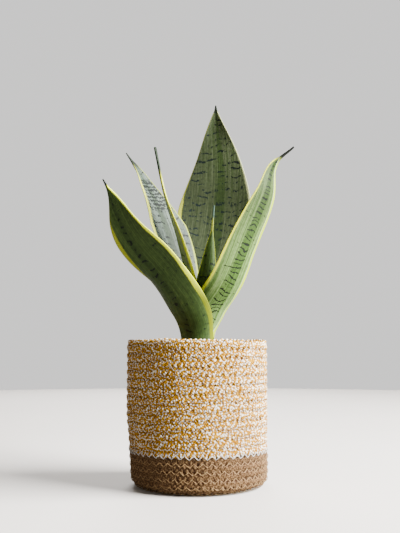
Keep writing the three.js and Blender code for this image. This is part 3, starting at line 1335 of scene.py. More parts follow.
@dataclass(frozen=True)
class PlasticFinish:
    """Finish of the pot's dull dark plastic with some dust on it."""

    name: str = "pot_plastic"
    dark: Colour = tint(40, 36, 34)
    dust: Colour = tint(104, 92, 80)
    grain_scale: float = 900.0
    dust_scale: float = 40.0
    dust_share: float = 0.35
    relief: float = 0.05

    def material(self) -> Material:
        """Builds the material.

        Returns:
            The material.
        """
        bench = MaterialBench(self.name)
        place = bench.object_place()
        grain = bench.noise(place, self.grain_scale, 3.0, 0.6)
        cloud = bench.noise(place, self.dust_scale, 4.0, 0.6)
        colour = bench.blend(bench.span(cloud, 0.45, 0.75, 0.0, self.dust_share), self.dark, self.dust)
        bench.surface(Base_Color=colour, Roughness=bench.span(grain, 0.3, 0.7, 0.45, 0.62))
        bench.surface(Normal=bench.bump(grain, self.relief))
        return bench.material


@dataclass(frozen=True)
class MixFinish:
    """Finish of the potting mix. The attribute grit is 0 on crumbs, higher on bark and near 1 on grit."""

    name: str = "dark_mix"
    dark: Colour = tint(44, 30, 22)
    brown: Colour = tint(92, 66, 46)
    bark: Colour = tint(128, 92, 62)
    grit: Colour = tint(214, 208, 198)
    scale: float = 380.0
    relief: float = 0.8
    roughness: float = 0.95

    def material(self) -> Material:
        """Builds the material.

        Returns:
            The material.
        """
        bench = MaterialBench(self.name)
        tone = bench.attribute("grit")
        clump = bench.noise(bench.object_place(), self.scale, 4.0, 0.65)
        crumbs = bench.blend(clump, self.dark, self.brown)
        bark = bench.blend(bench.span(tone, 0.1, 0.6), crumbs, self.bark)
        colour = bench.blend(bench.span(tone, 0.75, 0.82), bark, self.grit)
        bench.surface(Base_Color=colour, Roughness=self.roughness)
        bench.surface(Normal=bench.bump(clump, self.relief))
        return bench.material


@dataclass
class NurseryPot:
    """Thin plastic pot that holds the plant inside the basket."""

    floor: float = 5.3
    height: float = 124.0
    top_radius: float = 66.0
    base_radius: float = 52.0
    wall: float = 1.5
    lip_width: float = 3.0
    lip_height: float = 8.0
    sides: int = 96
    edge_rounding: float = 0.6
    sharp_edge: float = 40.0
    drain_holes: int = 6
    drain_radius: float = 5.0
    drain_circle: float = 34.0
    drill_sides: int = 24
    drill_depth: float = 6.0
    finish: PlasticFinish = PlasticFinish()

    def radius(self, height: float) -> float:
        """Gives the outer radius at a height."""
        share = (height - self.floor) / self.height
        return self.base_radius + share * (self.top_radius - self.base_radius)

    def inner_radius(self, height: float, gap: float) -> float:
        """Gives the radius inside the wall at a height, less a gap."""
        return self.radius(height) - self.wall - gap

    def _ring(self, edge: tuple[float, float], radius: float, height: float) -> tuple[float, float]:
        """Extrudes the open edge to a new ring.

        Args:
            edge: Radius and height of the open edge in millimetres.
            radius: The new ring's radius.
            height: Its height.

        Returns:
            Radius and height of the new open edge.
        """
        rise = (height - edge[1]) * MM
        bpy.ops.mesh.extrude_region_move(TRANSFORM_OT_translate={"value": (0.0, 0.0, rise)})
        if not math.isclose(radius, edge[0]):
            share = radius / edge[0]
            bpy.ops.transform.resize(value=(share, share, 1.0), center_override=(0.0, 0.0, height * MM))
        return radius, height

    def build(self) -> None:
        """Makes the pot and dresses it."""
        settle(self._shell(), self.finish.material(), Slot.POT_PLASTIC, "nursery_pot")

    def _shell(self) -> Piece:
        """Models the pot.

        Returns:
            The pot.
        """
        top = self.floor + self.height
        lip_bottom = top - self.lip_height
        put_down_everything()
        bpy.ops.mesh.primitive_circle_add(
            vertices=self.sides,
            radius=self.base_radius * MM,
            fill_type="NGON",
            location=(0.0, 0.0, self.floor * MM),
        )
        pot = added("nursery_pot_shell")
        bpy.ops.object.transform_apply(location=True, rotation=True, scale=True)
        edge = (self.base_radius, self.floor)
        with edit_mode(pot):
            for ring in (
                (self.radius(lip_bottom), lip_bottom),
                (self.radius(lip_bottom) + self.lip_width, lip_bottom),
                (self.top_radius + self.lip_width, top),
                (self.top_radius - self.wall, top),
                (self.base_radius - self.wall, self.floor + self.wall),
            ):
                edge = self._ring(edge, *ring)
            bpy.ops.mesh.normals_make_consistent(inside=False)
        self._drill(pot)
        bevel = pot.modifiers.new("edges", "BEVEL")
        bevel.width = self.edge_rounding * MM
        bevel.segments = 2
        bevel.limit_method = "ANGLE"
        bevel.angle_limit = math.radians(self.sharp_edge)
        apply_modifiers(pot)
        smooth_faces(pot, self.sharp_edge)
        return pot

    def _drill(self, pot: Piece) -> None:
        """Cuts the drainage holes through the floor.

        Args:
            pot: The pot.
        """
        drills = []
        for hole in range(self.drain_holes):
            angle = hole / self.drain_holes * TURN
            x, y = self.drain_circle * math.cos(angle), self.drain_circle * math.sin(angle)
            put_down_everything()
            bpy.ops.mesh.primitive_cylinder_add(
                vertices=self.drill_sides,
                radius=self.drain_radius * MM,
                depth=self.drill_depth * MM,
                location=(x * MM, y * MM, self.floor * MM),
            )
            bpy.ops.object.transform_apply(location=True, rotation=True, scale=True)
            drills.append(added(f"drill_{hole}"))
        drill = joined(drills, "drills")
        cut = pot.modifiers.new("drainage", "BOOLEAN")
        cut.operation = "DIFFERENCE"
        cut.solver = "EXACT"
        cut.object = drill
        apply_modifiers(pot)
        bpy.data.objects.remove(drill, do_unlink=True)


@dataclass
class PottingMix:
    """Crumbly mix with bark and pale grit on top."""

    pot: NurseryPot
    top: float = 122.0
    crown_rise: float = 1.5
    crown_slope: float = 0.5
    level_edge: float = 0.04
    gap: float = 0.3
    rings: int = 26
    sides: int = 120
    crumb: float = 0.225
    crumb_waves: int = 26
    crumb_pitch: tuple[float, float] = (0.25, 1.3)
    chips: int = 420
    grit_share: float = 0.22
    grit_size: tuple[float, float] = (0.8, 1.7)
    bark_size: tuple[float, float, float] = (3.6, 2.0, 0.9)
    smallest_bark: float = 0.6
    grit_tones: tuple[float, float] = (0.85, 1.0)
    bark_tones: tuple[float, float] = (0.1, 0.6)
    roughening: float = 0.22
    greatest_tilt: float = 0.35
    lift_share: float = 0.35
    clear_of_wall: float = 3.0
    bark_bevel: float = 0.35
    seed: int = 5
    finish: MixFinish = MixFinish()

    def _crumbs(self, x: np.ndarray, y: np.ndarray) -> np.ndarray:
        """Gives the crumbly relief of the surface.

        Args:
            x: Places along X in millimetres.
            y: Places along Y.

        Returns:
            Height above the plain surface.
        """
        draw = np.random.default_rng(self.seed)
        total = np.zeros_like(x)
        for _ in range(self.crumb_waves):
            heading = draw.uniform(0.0, TURN)
            pitch = draw.uniform(*self.crumb_pitch)
            start = draw.uniform(0.0, TURN)
            along = x * math.cos(heading) + y * math.sin(heading)
            total += np.sin(along * pitch + start) / (1.0 + pitch)
        return total * self.crumb

    def _surface_height(self, x: np.ndarray, y: np.ndarray) -> np.ndarray:
        """Gives the height of the mix.

        Args:
            x: Places along X in millimetres.
            y: Places along Y.

        Returns:
            The height at each place, which is level along the pot's wall.
        """
        inward = 1.0 - np.hypot(x, y) / self.pot.inner_radius(self.top, self.gap)
        rise = self.crown_rise * soft_step(inward / self.crown_slope)
        return self.top + rise + self._crumbs(x, y) * np.clip(inward / self.level_edge, 0.0, 1.0)

    def build(self) -> None:
        """Makes the mix and dresses it."""
        settle(self._filling(), self.finish.material(), Slot.POTTING_MIX, "potting_mix")

    def _filling(self) -> Piece:
        """Models the mix.

        Returns:
            The mix.
        """
        floor = self.pot.floor + self.pot.wall + self.gap
        low = self.pot.inner_radius(floor, self.gap)
        high = self.pot.inner_radius(self.top, self.gap)
        steps = self.rings + 2
        body = flat_sheet("potting_mix_body", self.sides, steps)
        around, across = sheet_shares(body)
        ring = np.rint(across * steps).astype(int)
        radius = np.where(ring == 1, low, high * (steps - ring) / self.rings)
        radius[ring == 0] = 0.0
        angle = closed_turn(around)
        x, y = radius * np.cos(angle), radius * np.sin(angle)
        height = np.where(ring <= 1, floor, self._surface_height(x, y))
        lay_points(body, np.stack([x, y, height], 1))
        weld(body, outward=True)
        smooth_faces(body, 60.0)
        write_attribute(body, "grit", 0.0)
        return joined([body, *self._chips(high)], "potting_mix_top")

    def _chips(self, reach: float) -> list[Piece]:
        """Scatters bark chips and grit.

        Args:
            reach: Radius that they may lie within.

        Returns:
            The chips.
        """
        put_down_everything()
        bpy.ops.mesh.primitive_cube_add(size=2.0)
        bark = added("bark_chip")
        with edit_mode(bark):
            bpy.ops.mesh.bevel(offset=self.bark_bevel, segments=1)
        put_down_everything()
        bpy.ops.mesh.primitive_ico_sphere_add(subdivisions=1, radius=1.0)
        grit = added("grit_grain")
        draw = np.random.default_rng(self.seed + 1)
        chips = [self._chip(f"chip_{index}", bark, grit, reach, draw) for index in range(self.chips)]
        for kind in (bark, grit):
            bpy.data.objects.remove(kind, do_unlink=True)
        return chips

    def _chip(self, name: str, bark: Piece, grit: Piece, reach: float, draw: np.random.Generator) -> Piece:
        """Drops one chip or grain on the mix.

        Args:
            name: Its name.
            bark: The chip of bark to copy.
            grit: The grain of grit to copy.
            reach: Radius that it may lie within.
            draw: Source of its size, place and turn.

        Returns:
            The chip.
        """
        pale = draw.uniform() < self.grit_share
        if pale:
            size = draw.uniform(*self.grit_size, 3)
        else:
            size = draw.uniform(self.smallest_bark, 1.0, 3) * np.array(self.bark_size)
        distance = (reach - self.clear_of_wall) * math.sqrt(draw.uniform())
        bearing = draw.uniform(0.0, TURN)
        x, y = distance * math.cos(bearing), distance * math.sin(bearing)
        height = float(self._surface_height(np.array([x]), np.array([y]))[0])
        chip = copied(grit if pale else bark, name)
        points = points_of(chip)
        points = points * (1.0 + draw.uniform(-self.roughening, self.roughening, points.shape)) * size
        tilt = draw.uniform(-self.greatest_tilt, self.greatest_tilt)
        spin = draw.uniform(0.0, TURN)
        leaned = np.array([
            [1.0, 0.0, 0.0],
            [0.0, math.cos(tilt), -math.sin(tilt)],
            [0.0, math.sin(tilt), math.cos(tilt)],
        ])
        turned = np.array([
            [math.cos(spin), -math.sin(spin), 0.0],
            [math.sin(spin), math.cos(spin), 0.0],
            [0.0, 0.0, 1.0],
        ])
        place = np.array([x, y, height + size[2] * self.lift_share])
        lay_points(chip, points @ leaned.T @ turned.T + place)
        write_attribute(chip, "grit", draw.uniform(*(self.grit_tones if pale else self.bark_tones)))
        return chip


# Leaves

LEAF_MEASURES = ("across", "along", "from_first", "from_last", "to_tip")
BEYOND_ROOT = 1000.0


class Edge(Enum):
    """Edges of a leaf: the first one lies at -1 across, and the last one at 1."""

    FIRST = "first"
    LAST = "last"


@dataclass(frozen=True)
class LeafForm:
    """Shape of one leaf, in millimetres and degrees.

    It stands on a ring round the crown, and its outer face looks along the two angles of out at
    its root and at its tip. Roll is half of what its section turns through at five stations, and
    wave is the height, number and phase of the waves of its edges. Widest_at and awl, its thin
    end, are shares of its length.
    """

    name: str
    ring: float
    out: tuple[float, float]
    midrib: tuple[tuple[float, float, float], ...]
    wide: float
    widest_at: float
    point: float
    awl: float
    roll: tuple[float, float, float, float, float]
    wave: tuple[float, float, float]
    last_wave: float = 1.0
    awl_half_width: float = 2.2
    tip_thickness: float = 1.4


@dataclass(frozen=True)
class BladeSection:
    """How thick a blade is and how finely it is modelled."""

    midrib_thickness: float = 2.8
    edge_thickness: float = 1.0
    tip_half_width: float = 0.8
    steps_across: int = 20
    steps_along: int = 120
    crowding: float = 1.35
    edge_insets: tuple[float, float, float] = (0.0, 0.22, 0.8)
    edge_shares: tuple[float, float, float] = (0.0, 0.72, 1.0)
    greatest_inset: float = 0.3
    last_ring_share: float = 0.72
    last_ring_reach: float = 0.45
    tip_reach: float = 0.8
    tip_step: float = 0.001
    weld: float = 0.001


@dataclass
class Blade:
    """One leaf that rises from its share of the ring round the crown."""

    form: LeafForm
    section: BladeSection = BladeSection()
    crown: tuple[float, float] = (2.0, 0.0)
    root_height: float = 107.0
    collar_height: float = 160.0
    collar_spread: float = 1.07
    widening_starts: float = 0.12
    roll_stations: tuple[float, ...] = (0.0, 0.2, 0.5, 0.85, 1.0)
    wave_side_shift: float = 1.3
    wave_edge_power: float = 2.5
    wave_fade_root: float = 0.35
    wave_fade_tip: float = 0.25
    midrib_step: float = 1e-4
    face_step: float = 1e-3
    length_steps: int = 400

    def _midrib(self, v: np.ndarray) -> np.ndarray:
        """Gives points on the curve that the middle of the blade follows.

        Args:
            v: Share of the way from root to tip.

        Returns:
            One point a row.
        """
        turn = math.radians(self.form.out[0])
        x, y = math.cos(turn) * self.form.ring, math.sin(turn) * self.form.ring
        base = [
            (self.crown[0] + spread * x, self.crown[1] + spread * y, height)
            for spread, height in ((1.0, self.root_height), (self.collar_spread, self.collar_height))
        ]
        knots = np.array([*base, *self.form.midrib], float)
        knots = np.vstack([2.0 * knots[0] - knots[1], knots, 2.0 * knots[-1] - knots[-2]])
        spans = len(knots) - 3
        way = np.clip(v, 0.0, 1.0) * spans
        index = np.minimum(np.floor(way).astype(int), spans - 1)
        w = (way - index)[:, None]
        before, start, end, after = knots[index], knots[index + 1], knots[index + 2], knots[index + 3]
        leave, arrive = (end - before) / 2.0, (after - start) / 2.0
        cubic = 2.0 * start - 2.0 * end + leave + arrive
        square = -3.0 * start + 3.0 * end - 2.0 * leave - arrive
        return cubic * w**3 + square * w**2 + leave * w + start

    def half_width(self, v: np.ndarray) -> np.ndarray:
        """Gives half the blade's width, measured round its curved section.

        Args:
            v: Share of the way from root to tip.

        Returns:
            Half the width at each of them.
        """
        form, section = self.form, self.section
        root = form.ring * math.radians(form.roll[0])
        share = soft_step((v - self.widening_starts) / (form.widest_at - self.widening_starts))
        low = root + (form.wide - root) * share
        awl_start = 1.0 - form.awl
        taper = np.clip((awl_start - v) / (awl_start - form.widest_at), 0.0, 1.0)
        awl = np.minimum((1.0 - v) / form.awl, 1.0)
        high = section.tip_half_width + (form.awl_half_width - section.tip_half_width) * awl
        high = high + (form.wide - form.awl_half_width) * (1.0 - (1.0 - taper) ** form.point)
        return np.where(v < form.widest_at, low, high)

    def _roll(self, v: np.ndarray) -> np.ndarray:
        """Gives half the angle that the channelled section turns through.

        Args:
            v: Share of the way from root to tip.

        Returns:
            The angle at each of them in radians.
        """
        ends = np.array(self.roll_stations)
        angles = np.array(self.form.roll)
        station = np.clip(np.searchsorted(ends, v, side="right") - 1, 0, len(ends) - 2)
        share = soft_step((v - ends[station]) / (ends[station + 1] - ends[station]))
        return np.radians(angles[station] + share * (angles[station + 1] - angles[station]))

    def middle(self, u: np.ndarray, v: np.ndarray) -> np.ndarray:
        """Gives points on the blade's middle surface.

        Args:
            u: Place across, from -1 to 1.
            v: Place from root to tip.

        Returns:
            One point a row.
        """
        centre = self._midrib(v)
        ahead = self._midrib(np.minimum(v + self.midrib_step, 1.0))
        run = unit(ahead - self._midrib(np.maximum(v - self.midrib_step, 0.0)))
        turn = np.radians(self.form.out[0] + (self.form.out[1] - self.form.out[0]) * soft_step(v))
        outward = np.stack([np.cos(turn), np.sin(turn), np.zeros_like(turn)], 1)
        outward = unit(outward - (outward * run).sum(1, keepdims=True) * run)
        across = np.cross(run, outward)
        roll = self._roll(v)
        radius = self.half_width(v) / roll
        height, count, phase = self.form.wave
        swing = np.sin(TURN * count * v + math.radians(phase) + self.wave_side_shift * np.sign(u))
        fade = soft_step(v / self.wave_fade_root) * soft_step((1.0 - v) / self.wave_fade_tip)
        wave = height * swing * np.abs(u) ** self.wave_edge_power * fade
        wave = wave * np.where(u > 0.0, self.form.last_wave, 1.0)
        inward = radius * (1.0 - np.cos(u * roll)) + wave
        return centre + across * (radius * np.sin(u * roll))[:, None] - outward * inward[:, None]

    def _columns(self) -> np.ndarray:
        """Lists the points round the section.

        Returns:
            For each point, a row of its place across, how far in millimetres it is set in from
            the edge, its side of the blade and its share of the thickness.
        """
        edge, shoulder, field = zip(self.section.edge_insets, self.section.edge_shares)
        steps = self.section.steps_across
        face = [(-1.0, *edge), (-1.0, *shoulder)]
        face += [(2.0 * step / steps - 1.0, *field) for step in range(steps + 1)]
        face += [(1.0, *shoulder)]
        outer = [(-across, inset, 1.0, share) for across, inset, share in face]
        inner = [(across, inset, -1.0, share) for across, inset, share in face]
        return np.array(outer + inner)

    def build(self) -> Piece:
        """Models the leaf.

        Returns:
            The leaf.
        """
        section = self.section
        columns = self._columns()
        rows = section.steps_along + 3
        leaf = flat_sheet(self.form.name + "_blade", rows, len(columns))
        along, around = sheet_shares(leaf)
        row = np.rint(along * rows).astype(int)
        column = np.rint(around * len(columns)).astype(int) % len(columns)
        across, inset, face, fullness = columns[column].T
        share = np.clip((row - 1) / section.steps_along, 0.0, 1.0)
        v = 1.0 - (1.0 - share) ** section.crowding
        width = self.half_width(v)
        limit = inset / section.edge_insets[-1] * section.greatest_inset
        u = across * (1.0 - np.minimum(inset / width, limit))
        step = self.face_step
        sideways = self.middle(u + step, v) - self.middle(u - step, v)
        ahead = self.middle(u, np.minimum(v + step, 1.0))
        normal = unit(np.cross(sideways, ahead - self.middle(u, np.maximum(v - step, 0.0))))
        spine = section.midrib_thickness + (self.form.tip_thickness - section.midrib_thickness) * v
        thickness = spine + (section.edge_thickness - spine) * u * u
        points = self.middle(u, v) + normal * (face * fullness * thickness / 2.0)[:, None]
        lay_points(leaf, self._closed_ends(points, row, rows))
        self._measure(leaf, u, v, width)
        weld(leaf, section.weld)
        smooth_faces(leaf)
        return leaf

    def _closed_ends(self, points: np.ndarray, row: np.ndarray, rows: int) -> np.ndarray:
        """Draws the root and the tip together.

        Args:
            points: Places of all vertices.
            row: The row of each vertex.
            rows: The last row.

        Returns:
            The places with both ends closed.
        """
        section = self.section
        root, before, tip = self._midrib(np.array([0.0, 1.0 - section.tip_step, 1.0]))
        run = (tip - before) / np.linalg.norm(tip - before)
        last = row == rows - 1
        points[row == 0] = root
        points[last] = tip + (points[last] - tip) * section.last_ring_share + run * section.last_ring_reach
        points[row == rows] = tip + run * section.tip_reach
        return points

    def _measure(self, leaf: Piece, u: np.ndarray, v: np.ndarray, width: np.ndarray) -> None:
        """Stores where each vertex lies on the leaf, for its markings.

        Args:
            leaf: The leaf.
            u: Place across.
            v: Place from root to tip.
            width: Half width at each vertex.
        """
        stations = np.linspace(0.0, 1.0, self.length_steps)
        lengths = np.linalg.norm(np.diff(self._midrib(stations), axis=0), axis=1)
        travelled = np.concatenate([[0.0], np.cumsum(lengths)])
        along = np.interp(v, stations, travelled)
        measures = (u, along, width * (1.0 + u), width * (1.0 - u), travelled[-1] - along)
        for name, values in zip(LEAF_MEASURES, measures):
            write_attribute(leaf, name, values)


LEAVES = (
    LeafForm(
        name="leaf_front_left", ring=19, out=(-102, -138),
        midrib=((-11, -37, 193), (-36, -51, 230), (-72, -63, 274), (-100, -76, 330)), wide=27,
        widest_at=0.66, point=1.9, awl=0.03, roll=(70, 72, 24, 7, 60), wave=(-9.5, 1.5, 49),
        last_wave=0.25,
    ),
    LeafForm(
        name="leaf_right", ring=14.5, out=(-52, -36),
        midrib=(
            (22, -12, 192), (40, -22, 225), (58, -29, 270), (78, -33, 320), (86, -35, 355), (109, -36, 377)
        ),
        wide=30, widest_at=0.38, point=1.9, awl=0.09, roll=(72, 70, 36, 12, 60), wave=(1, 2, 20),
        tip_thickness=2.6,
    ),
    LeafForm(
        name="leaf_back", ring=18.5, out=(95, 68),
        midrib=((6, 44, 227), (20, 60, 300), (26, 74, 377), (24, 84, 467)), wide=47.5, widest_at=0.66,
        point=1.5, awl=0.015, roll=(70, 66, 20, 8, 50), wave=(0.6, 1.8, 40),
    ),
    LeafForm(
        name="leaf_left", ring=13.5, out=(128, 150),
        midrib=((-16, 18, 215), (-30, 23, 271), (-52, 32, 330), (-88, 44, 392)), wide=35, widest_at=0.69,
        point=0.98, awl=0.03, roll=(70, 64, 24, 16, 85), wave=(1, 1.6, 90),
    ),
    LeafForm(
        name="leaf_edge_on", ring=10, out=(-150, -172),
        midrib=((-9, -2, 219), (-21, -1, 275), (-38, 1, 331), (-50, 4, 388)), wide=16, widest_at=0.33,
        point=1.1, awl=0.12, roll=(78, 70, 38, 13, 60), wave=(0.8, 1.7, 60), awl_half_width=2.4,
        tip_thickness=3.2,
    ),
    LeafForm(
        name="leaf_heart", ring=5.5, out=(-90, -77),
        midrib=((7, -3, 205), (13, 0, 243), (17, 4, 281), (20, 7, 318)), wide=13, widest_at=0.49,
        point=1.56, awl=0.16, roll=(80, 72, 50, 50, 60), wave=(0.5, 1.5, 0), awl_half_width=1.1,
    ),
)


@dataclass(frozen=True)
class LeafFinish:
    """Colours of one leaf and where its markings lie.

    Its first edge is the one at -1 across, and its last edge the one at 1. The stripe's middle
    and half width are places across, shades and bars are shares, and the rest is in millimetres.
    Starts, ends, reach, fade and change are measured back from the tip.
    """

    DULL = 0.58
    WAXY = 0.44
    GLOSS = 0.12
    RELIEF = 0.35

    slot: Slot
    ground: Colour
    streak: Colour
    stripe: Colour
    mark: Colour
    first_margin: float
    last_margin: float
    stripe_middle: float
    stripe_half: float
    bars_in_stripe: float
    bars_in_field: float
    first_edge: Colour = tint(164, 170, 0)
    last_edge: Colour = tint(164, 170, 0)
    tip: Colour = tint(28, 36, 26)
    stripe_fade: float = BEYOND_ROOT
    bar_spacing: float = 9.0
    band_start: float = 0.0
    band_end: float = 1.0
    band_strength: float = 0.0
    tip_length: float = 9.0
    # Low, first and last shade are painted shade below 1 and painted light above 1.
    low_shade: float = 1.0
    first_shade: float = 1.0
    last_shade: float = 1.0
    first_start: float = 0.0
    last_start: float = 0.0
    first_reach: float = BEYOND_ROOT
    first_low: Colour = tint(164, 170, 0)
    last_low: Colour = tint(164, 170, 0)
    change: float = BEYOND_ROOT
    # Painted highlight: a pale line along the ridge beside the last margin.
    painted_rim_highlight: float = 0.0
    seed: float = 0.0

    @classmethod
    def sockets(cls) -> dict[str, Kind]:
        """Lists what the markings take from a finish.

        Returns:
            The kind of each value by its name.
        """
        kinds = {float: Kind.VALUE, Colour: Kind.COLOUR}
        return {item.name: kinds[item.type] for item in fields(cls) if item.type in kinds}

    def material(self, name: str, markings: Tree) -> Material:
        """Builds the material.

        Args:
            name: The material's name.
            markings: The node group of leaf markings.

        Returns:
            The material.
        """
        bench = MaterialBench(name)
        measures = {key: bench.attribute(key) for key in LEAF_MEASURES}
        values = {key: getattr(self, key) for key in self.sockets()}
        marked = bench.use(markings, **measures, **values).outputs
        waxy = bench.span(marked["Height"], 0.2, 0.7, self.DULL, self.WAXY)
        bench.surface(Base_Color=marked["Colour"], Roughness=waxy, Specular_IOR_Level=self.GLOSS)
        bench.surface(Normal=bench.bump(marked["Height"], self.RELIEF))
        return bench.material


@dataclass(frozen=True)
class Cloud:
    """A cloudy pattern on a leaf.

    Across and along are its changes in each millimetre, shift sets it apart from the leaf's
    other clouds, and detail is its number of octaves.
    """

    across: float
    along: float
    shift: float
    detail: float = 1.0


class LeafMarkings(GroupBench):
    """Node group of a banded leaf: streaks, a greener stripe, wavy bars, margins and a dark tip."""

    FINE_STREAKS = Cloud(1.1, 0.012, 0.0, 2.0)
    BROAD_STREAKS = Cloud(0.32, 0.008, 3.0)
    MOTTLE = Cloud(0.3, 0.22, 6.0, 3.0)
    STRIPE_SWAY = Cloud(0.0, 0.02, 9.0)
    BAR_WAVES = Cloud(0.06, 0.06, 12.0)
    BAR_RIPPLES = Cloud(0.55, 0.25, 15.0)
    SMALL_BREAKS = Cloud(0.3, 0.18, 18.0, 2.0)
    WIDE_BREAKS = Cloud(0.05, 0.13, 33.0)
    NET_CRINKLE = Cloud(0.3, 0.16, 21.0, 2.0)
    NET_LEAD = Cloud(0.12, 0.0, 24.0)
    MARGIN_NOTCHES = Cloud(0.0, 0.6, 27.0, 2.0)
    MARGIN_DRIFT = Cloud(0.0, 0.03, 30.0)
    NET_SPACING = 5.2
    MARK_DEPTH = 0.94

    def __init__(self) -> None:
        """Makes the group and the patterns that more than one of its markings follows."""
        takes = dict.fromkeys(LEAF_MEASURES, Kind.VALUE) | LeafFinish.sockets()
        super().__init__("LeafMarkings", takes, {"colour": Kind.COLOUR, "height": Kind.VALUE})
        self.along, self.to_tip = self.take("along"), self.take("to_tip")
        self.side = self.product(self.difference(self.take("from_first"), self.take("from_last")), 0.5)
        self.fine = self._cloud(self.FINE_STREAKS)
        self.mottle = self._cloud(self.MOTTLE)
        broken = self.total(self._cloud(self.SMALL_BREAKS), self._cloud(self.WIDE_BREAKS))
        self.broken = self.product(broken, 0.5)
        sway = self.scaled(self._cloud(self.STRIPE_SWAY), 0.16, -0.08)
        off = self.total(self.difference(self.take("across"), self.take("stripe_middle")), sway)
        half = self.take("stripe_half")
        inner, outer = self.product(half, 0.7), self.product(half, 1.25)
        self.stripe = self.span(self.math("ABSOLUTE", off), inner, outer, 1.0, 0.0)

    def _cloud(self, cloud: Cloud) -> Socket:
        """Adds a noise stretched along or across the leaf.

        Args:
            cloud: What it is like.

        Returns:
            The noise, from 0 to 1.
        """
        x = self.product(self.side, cloud.across)
        y = self.product(self.along, cloud.along)
        place = self.vector(x, y, self.total(self.take("seed"), cloud.shift))
        return self.noise(place, detail=cloud.detail)

    def _field(self) -> Socket:
        """Colours the blade under its marks.

        Returns:
            The colour.
        """
        stripe, fade = self.take("stripe"), self.take("stripe_fade")
        colour = self.blend(self.span(self.fine, 0.4, 0.62), self.take("ground"), self.take("streak"))
        broad = self.span(self._cloud(self.BROAD_STREAKS), 0.48, 0.68, 0.0, 0.6)
        colour = self.blend(broad, colour, stripe)
        kept = self.span(self.to_tip, self.difference(fade, 90.0), fade, 0.85, 0.25)
        colour = self.blend(self.product(self.stripe, kept), colour, stripe)
        # Painted shade and light: low shade works toward the root, first and last shade on either half; the
        # mottle is the leaf's own uneven tone.
        low = self.span(self.to_tip, 60.0, 140.0, 1.0, self.take("low_shade"))
        shade = self.product(low, self.span(self.mottle, 0.3, 0.7, 0.82, 1.14))
        across = self.take("across")
        shade = self.product(shade, self.span(across, -0.9, 0.1, self.take("first_shade"), 1.0))
        shade = self.product(shade, self.span(across, -0.1, 0.9, 1.0, self.take("last_shade")))
        return self.shaded(colour, shade)

    def _bars(self) -> Socket:
        """Draws the wavy, broken bars.

        Returns:
            Their mask.
        """
        wave = self.scaled(self._cloud(self.BAR_WAVES), 16.0, self.along)
        ripple = self.scaled(self._cloud(self.BAR_RIPPLES), 2.6, wave)
        beat = self.math("DIVIDE", ripple, self.take("bar_spacing"))
        crest = self.math("COSINE", self.product(beat, TURN))
        wanted = self.scaled(self.stripe, self.take("bars_in_stripe"), self.take("bars_in_field"))
        needed = self.difference(0.62, self.product(wanted, 0.2))
        shown = self.span(self.broken, self.difference(needed, 0.035), self.total(needed, 0.035))
        return self.product(self.span(crest, 0.45, 0.8), shown)

    def _net(self) -> Socket:
        """Draws the dense band of crinkled marks below the tip.

        Returns:
            Their mask.
        """
        crinkle = self.scaled(self._cloud(self.NET_CRINKLE), 9.0, self.along)
        crest = self.math("COSINE", self.product(crinkle, TURN / self.NET_SPACING))
        lead = self.scaled(self._cloud(self.NET_LEAD), 16.0, self.difference(self.to_tip, 8.0))
        start, end = self.take("band_start"), self.take("band_end")
        entered = self.span(lead, start, self.total(start, 8.0))
        inside = self.product(entered, self.span(lead, self.difference(end, 8.0), end, 1.0, 0.0))
        strength = self.product(inside, self.take("band_strength"))
        net = self.product(self.span(crest, -0.55, 0.1), strength)
        return self.product(net, self.span(self.broken, 0.3, 0.45))

    def _past_margin(self, edge: Edge, notch: object, extent: object) -> Socket:
        """Measures the way in from a margin's wandering inner border.

        Args:
            edge: Which edge of the leaf it lies on.
            notch: The border's small notches in millimetres.
            extent: The margin's width as a share of its full width.

        Returns:
            The way in millimetres, negative on the margin.
        """
        start = self.take(edge.value + "_start")
        begun = self.span(self.to_tip, start, self.total(start, 20.0), 0.3, 1.0)
        width = self.product(self.product(self.take(edge.value + "_margin"), extent), begun)
        return self.difference(self.take("from_" + edge.value), self.scaled(notch, 0.5, width))

    def _margins(self, colour: object) -> Socket:
        """Paints both margins and the painted highlight beside the last one.

        Args:
            colour: The colour so far.

        Returns:
            The colour with the margins.
        """
        notch = self.scaled(self._cloud(self.MARGIN_NOTCHES), 1.2, -0.6)
        drift = self.scaled(self._cloud(self.MARGIN_DRIFT), 0.9, 0.55)
        drift = self.product(drift, self.span(self.to_tip, 10.0, 190.0, 0.22, 1.0))
        reach, change = self.take("first_reach"), self.take("change")
        ending = self.span(self.to_tip, reach, self.total(reach, 40.0), 1.0, 0.2)
        lower = self.span(self.to_tip, self.difference(change, 20.0), self.total(change, 20.0))
        first = self._past_margin(Edge.FIRST, notch, self.product(drift, ending))
        last = self._past_margin(Edge.LAST, notch, drift)
        for edge, past in ((Edge.FIRST, first), (Edge.LAST, last)):
            hue = self.blend(lower, self.take(edge.value + "_edge"), self.take(edge.value + "_low"))
            colour = self.blend(self.span(past, 0.1, 1.2, 0.35, 0.0), colour, hue)
            colour = self.blend(self.span(past, -0.25, 0.2, 1.0, 0.0), colour, hue)
        # Painted highlight: a pale line beside the last margin, where the blade turns.
        beside = self.math("ABSOLUTE", self.difference(last, 0.5))
        line = self.product(self.span(beside, 0.3, 0.9, 1.0, 0.0), self.take("painted_rim_highlight"))
        return self.blend(line, colour, tint(150, 164, 136))

    def _tip(self, colour: object) -> Socket:
        """Darkens the tip.

        Args:
            colour: The colour so far.

        Returns:
            The colour with the tip.
        """
        end = self.difference(self.to_tip, self.product(self.mottle, 4.0))
        length = self.take("tip_length")
        dark = self.span(end, self.product(length, 0.55), length, 1.0, 0.0)
        return self.blend(dark, colour, self.take("tip"))

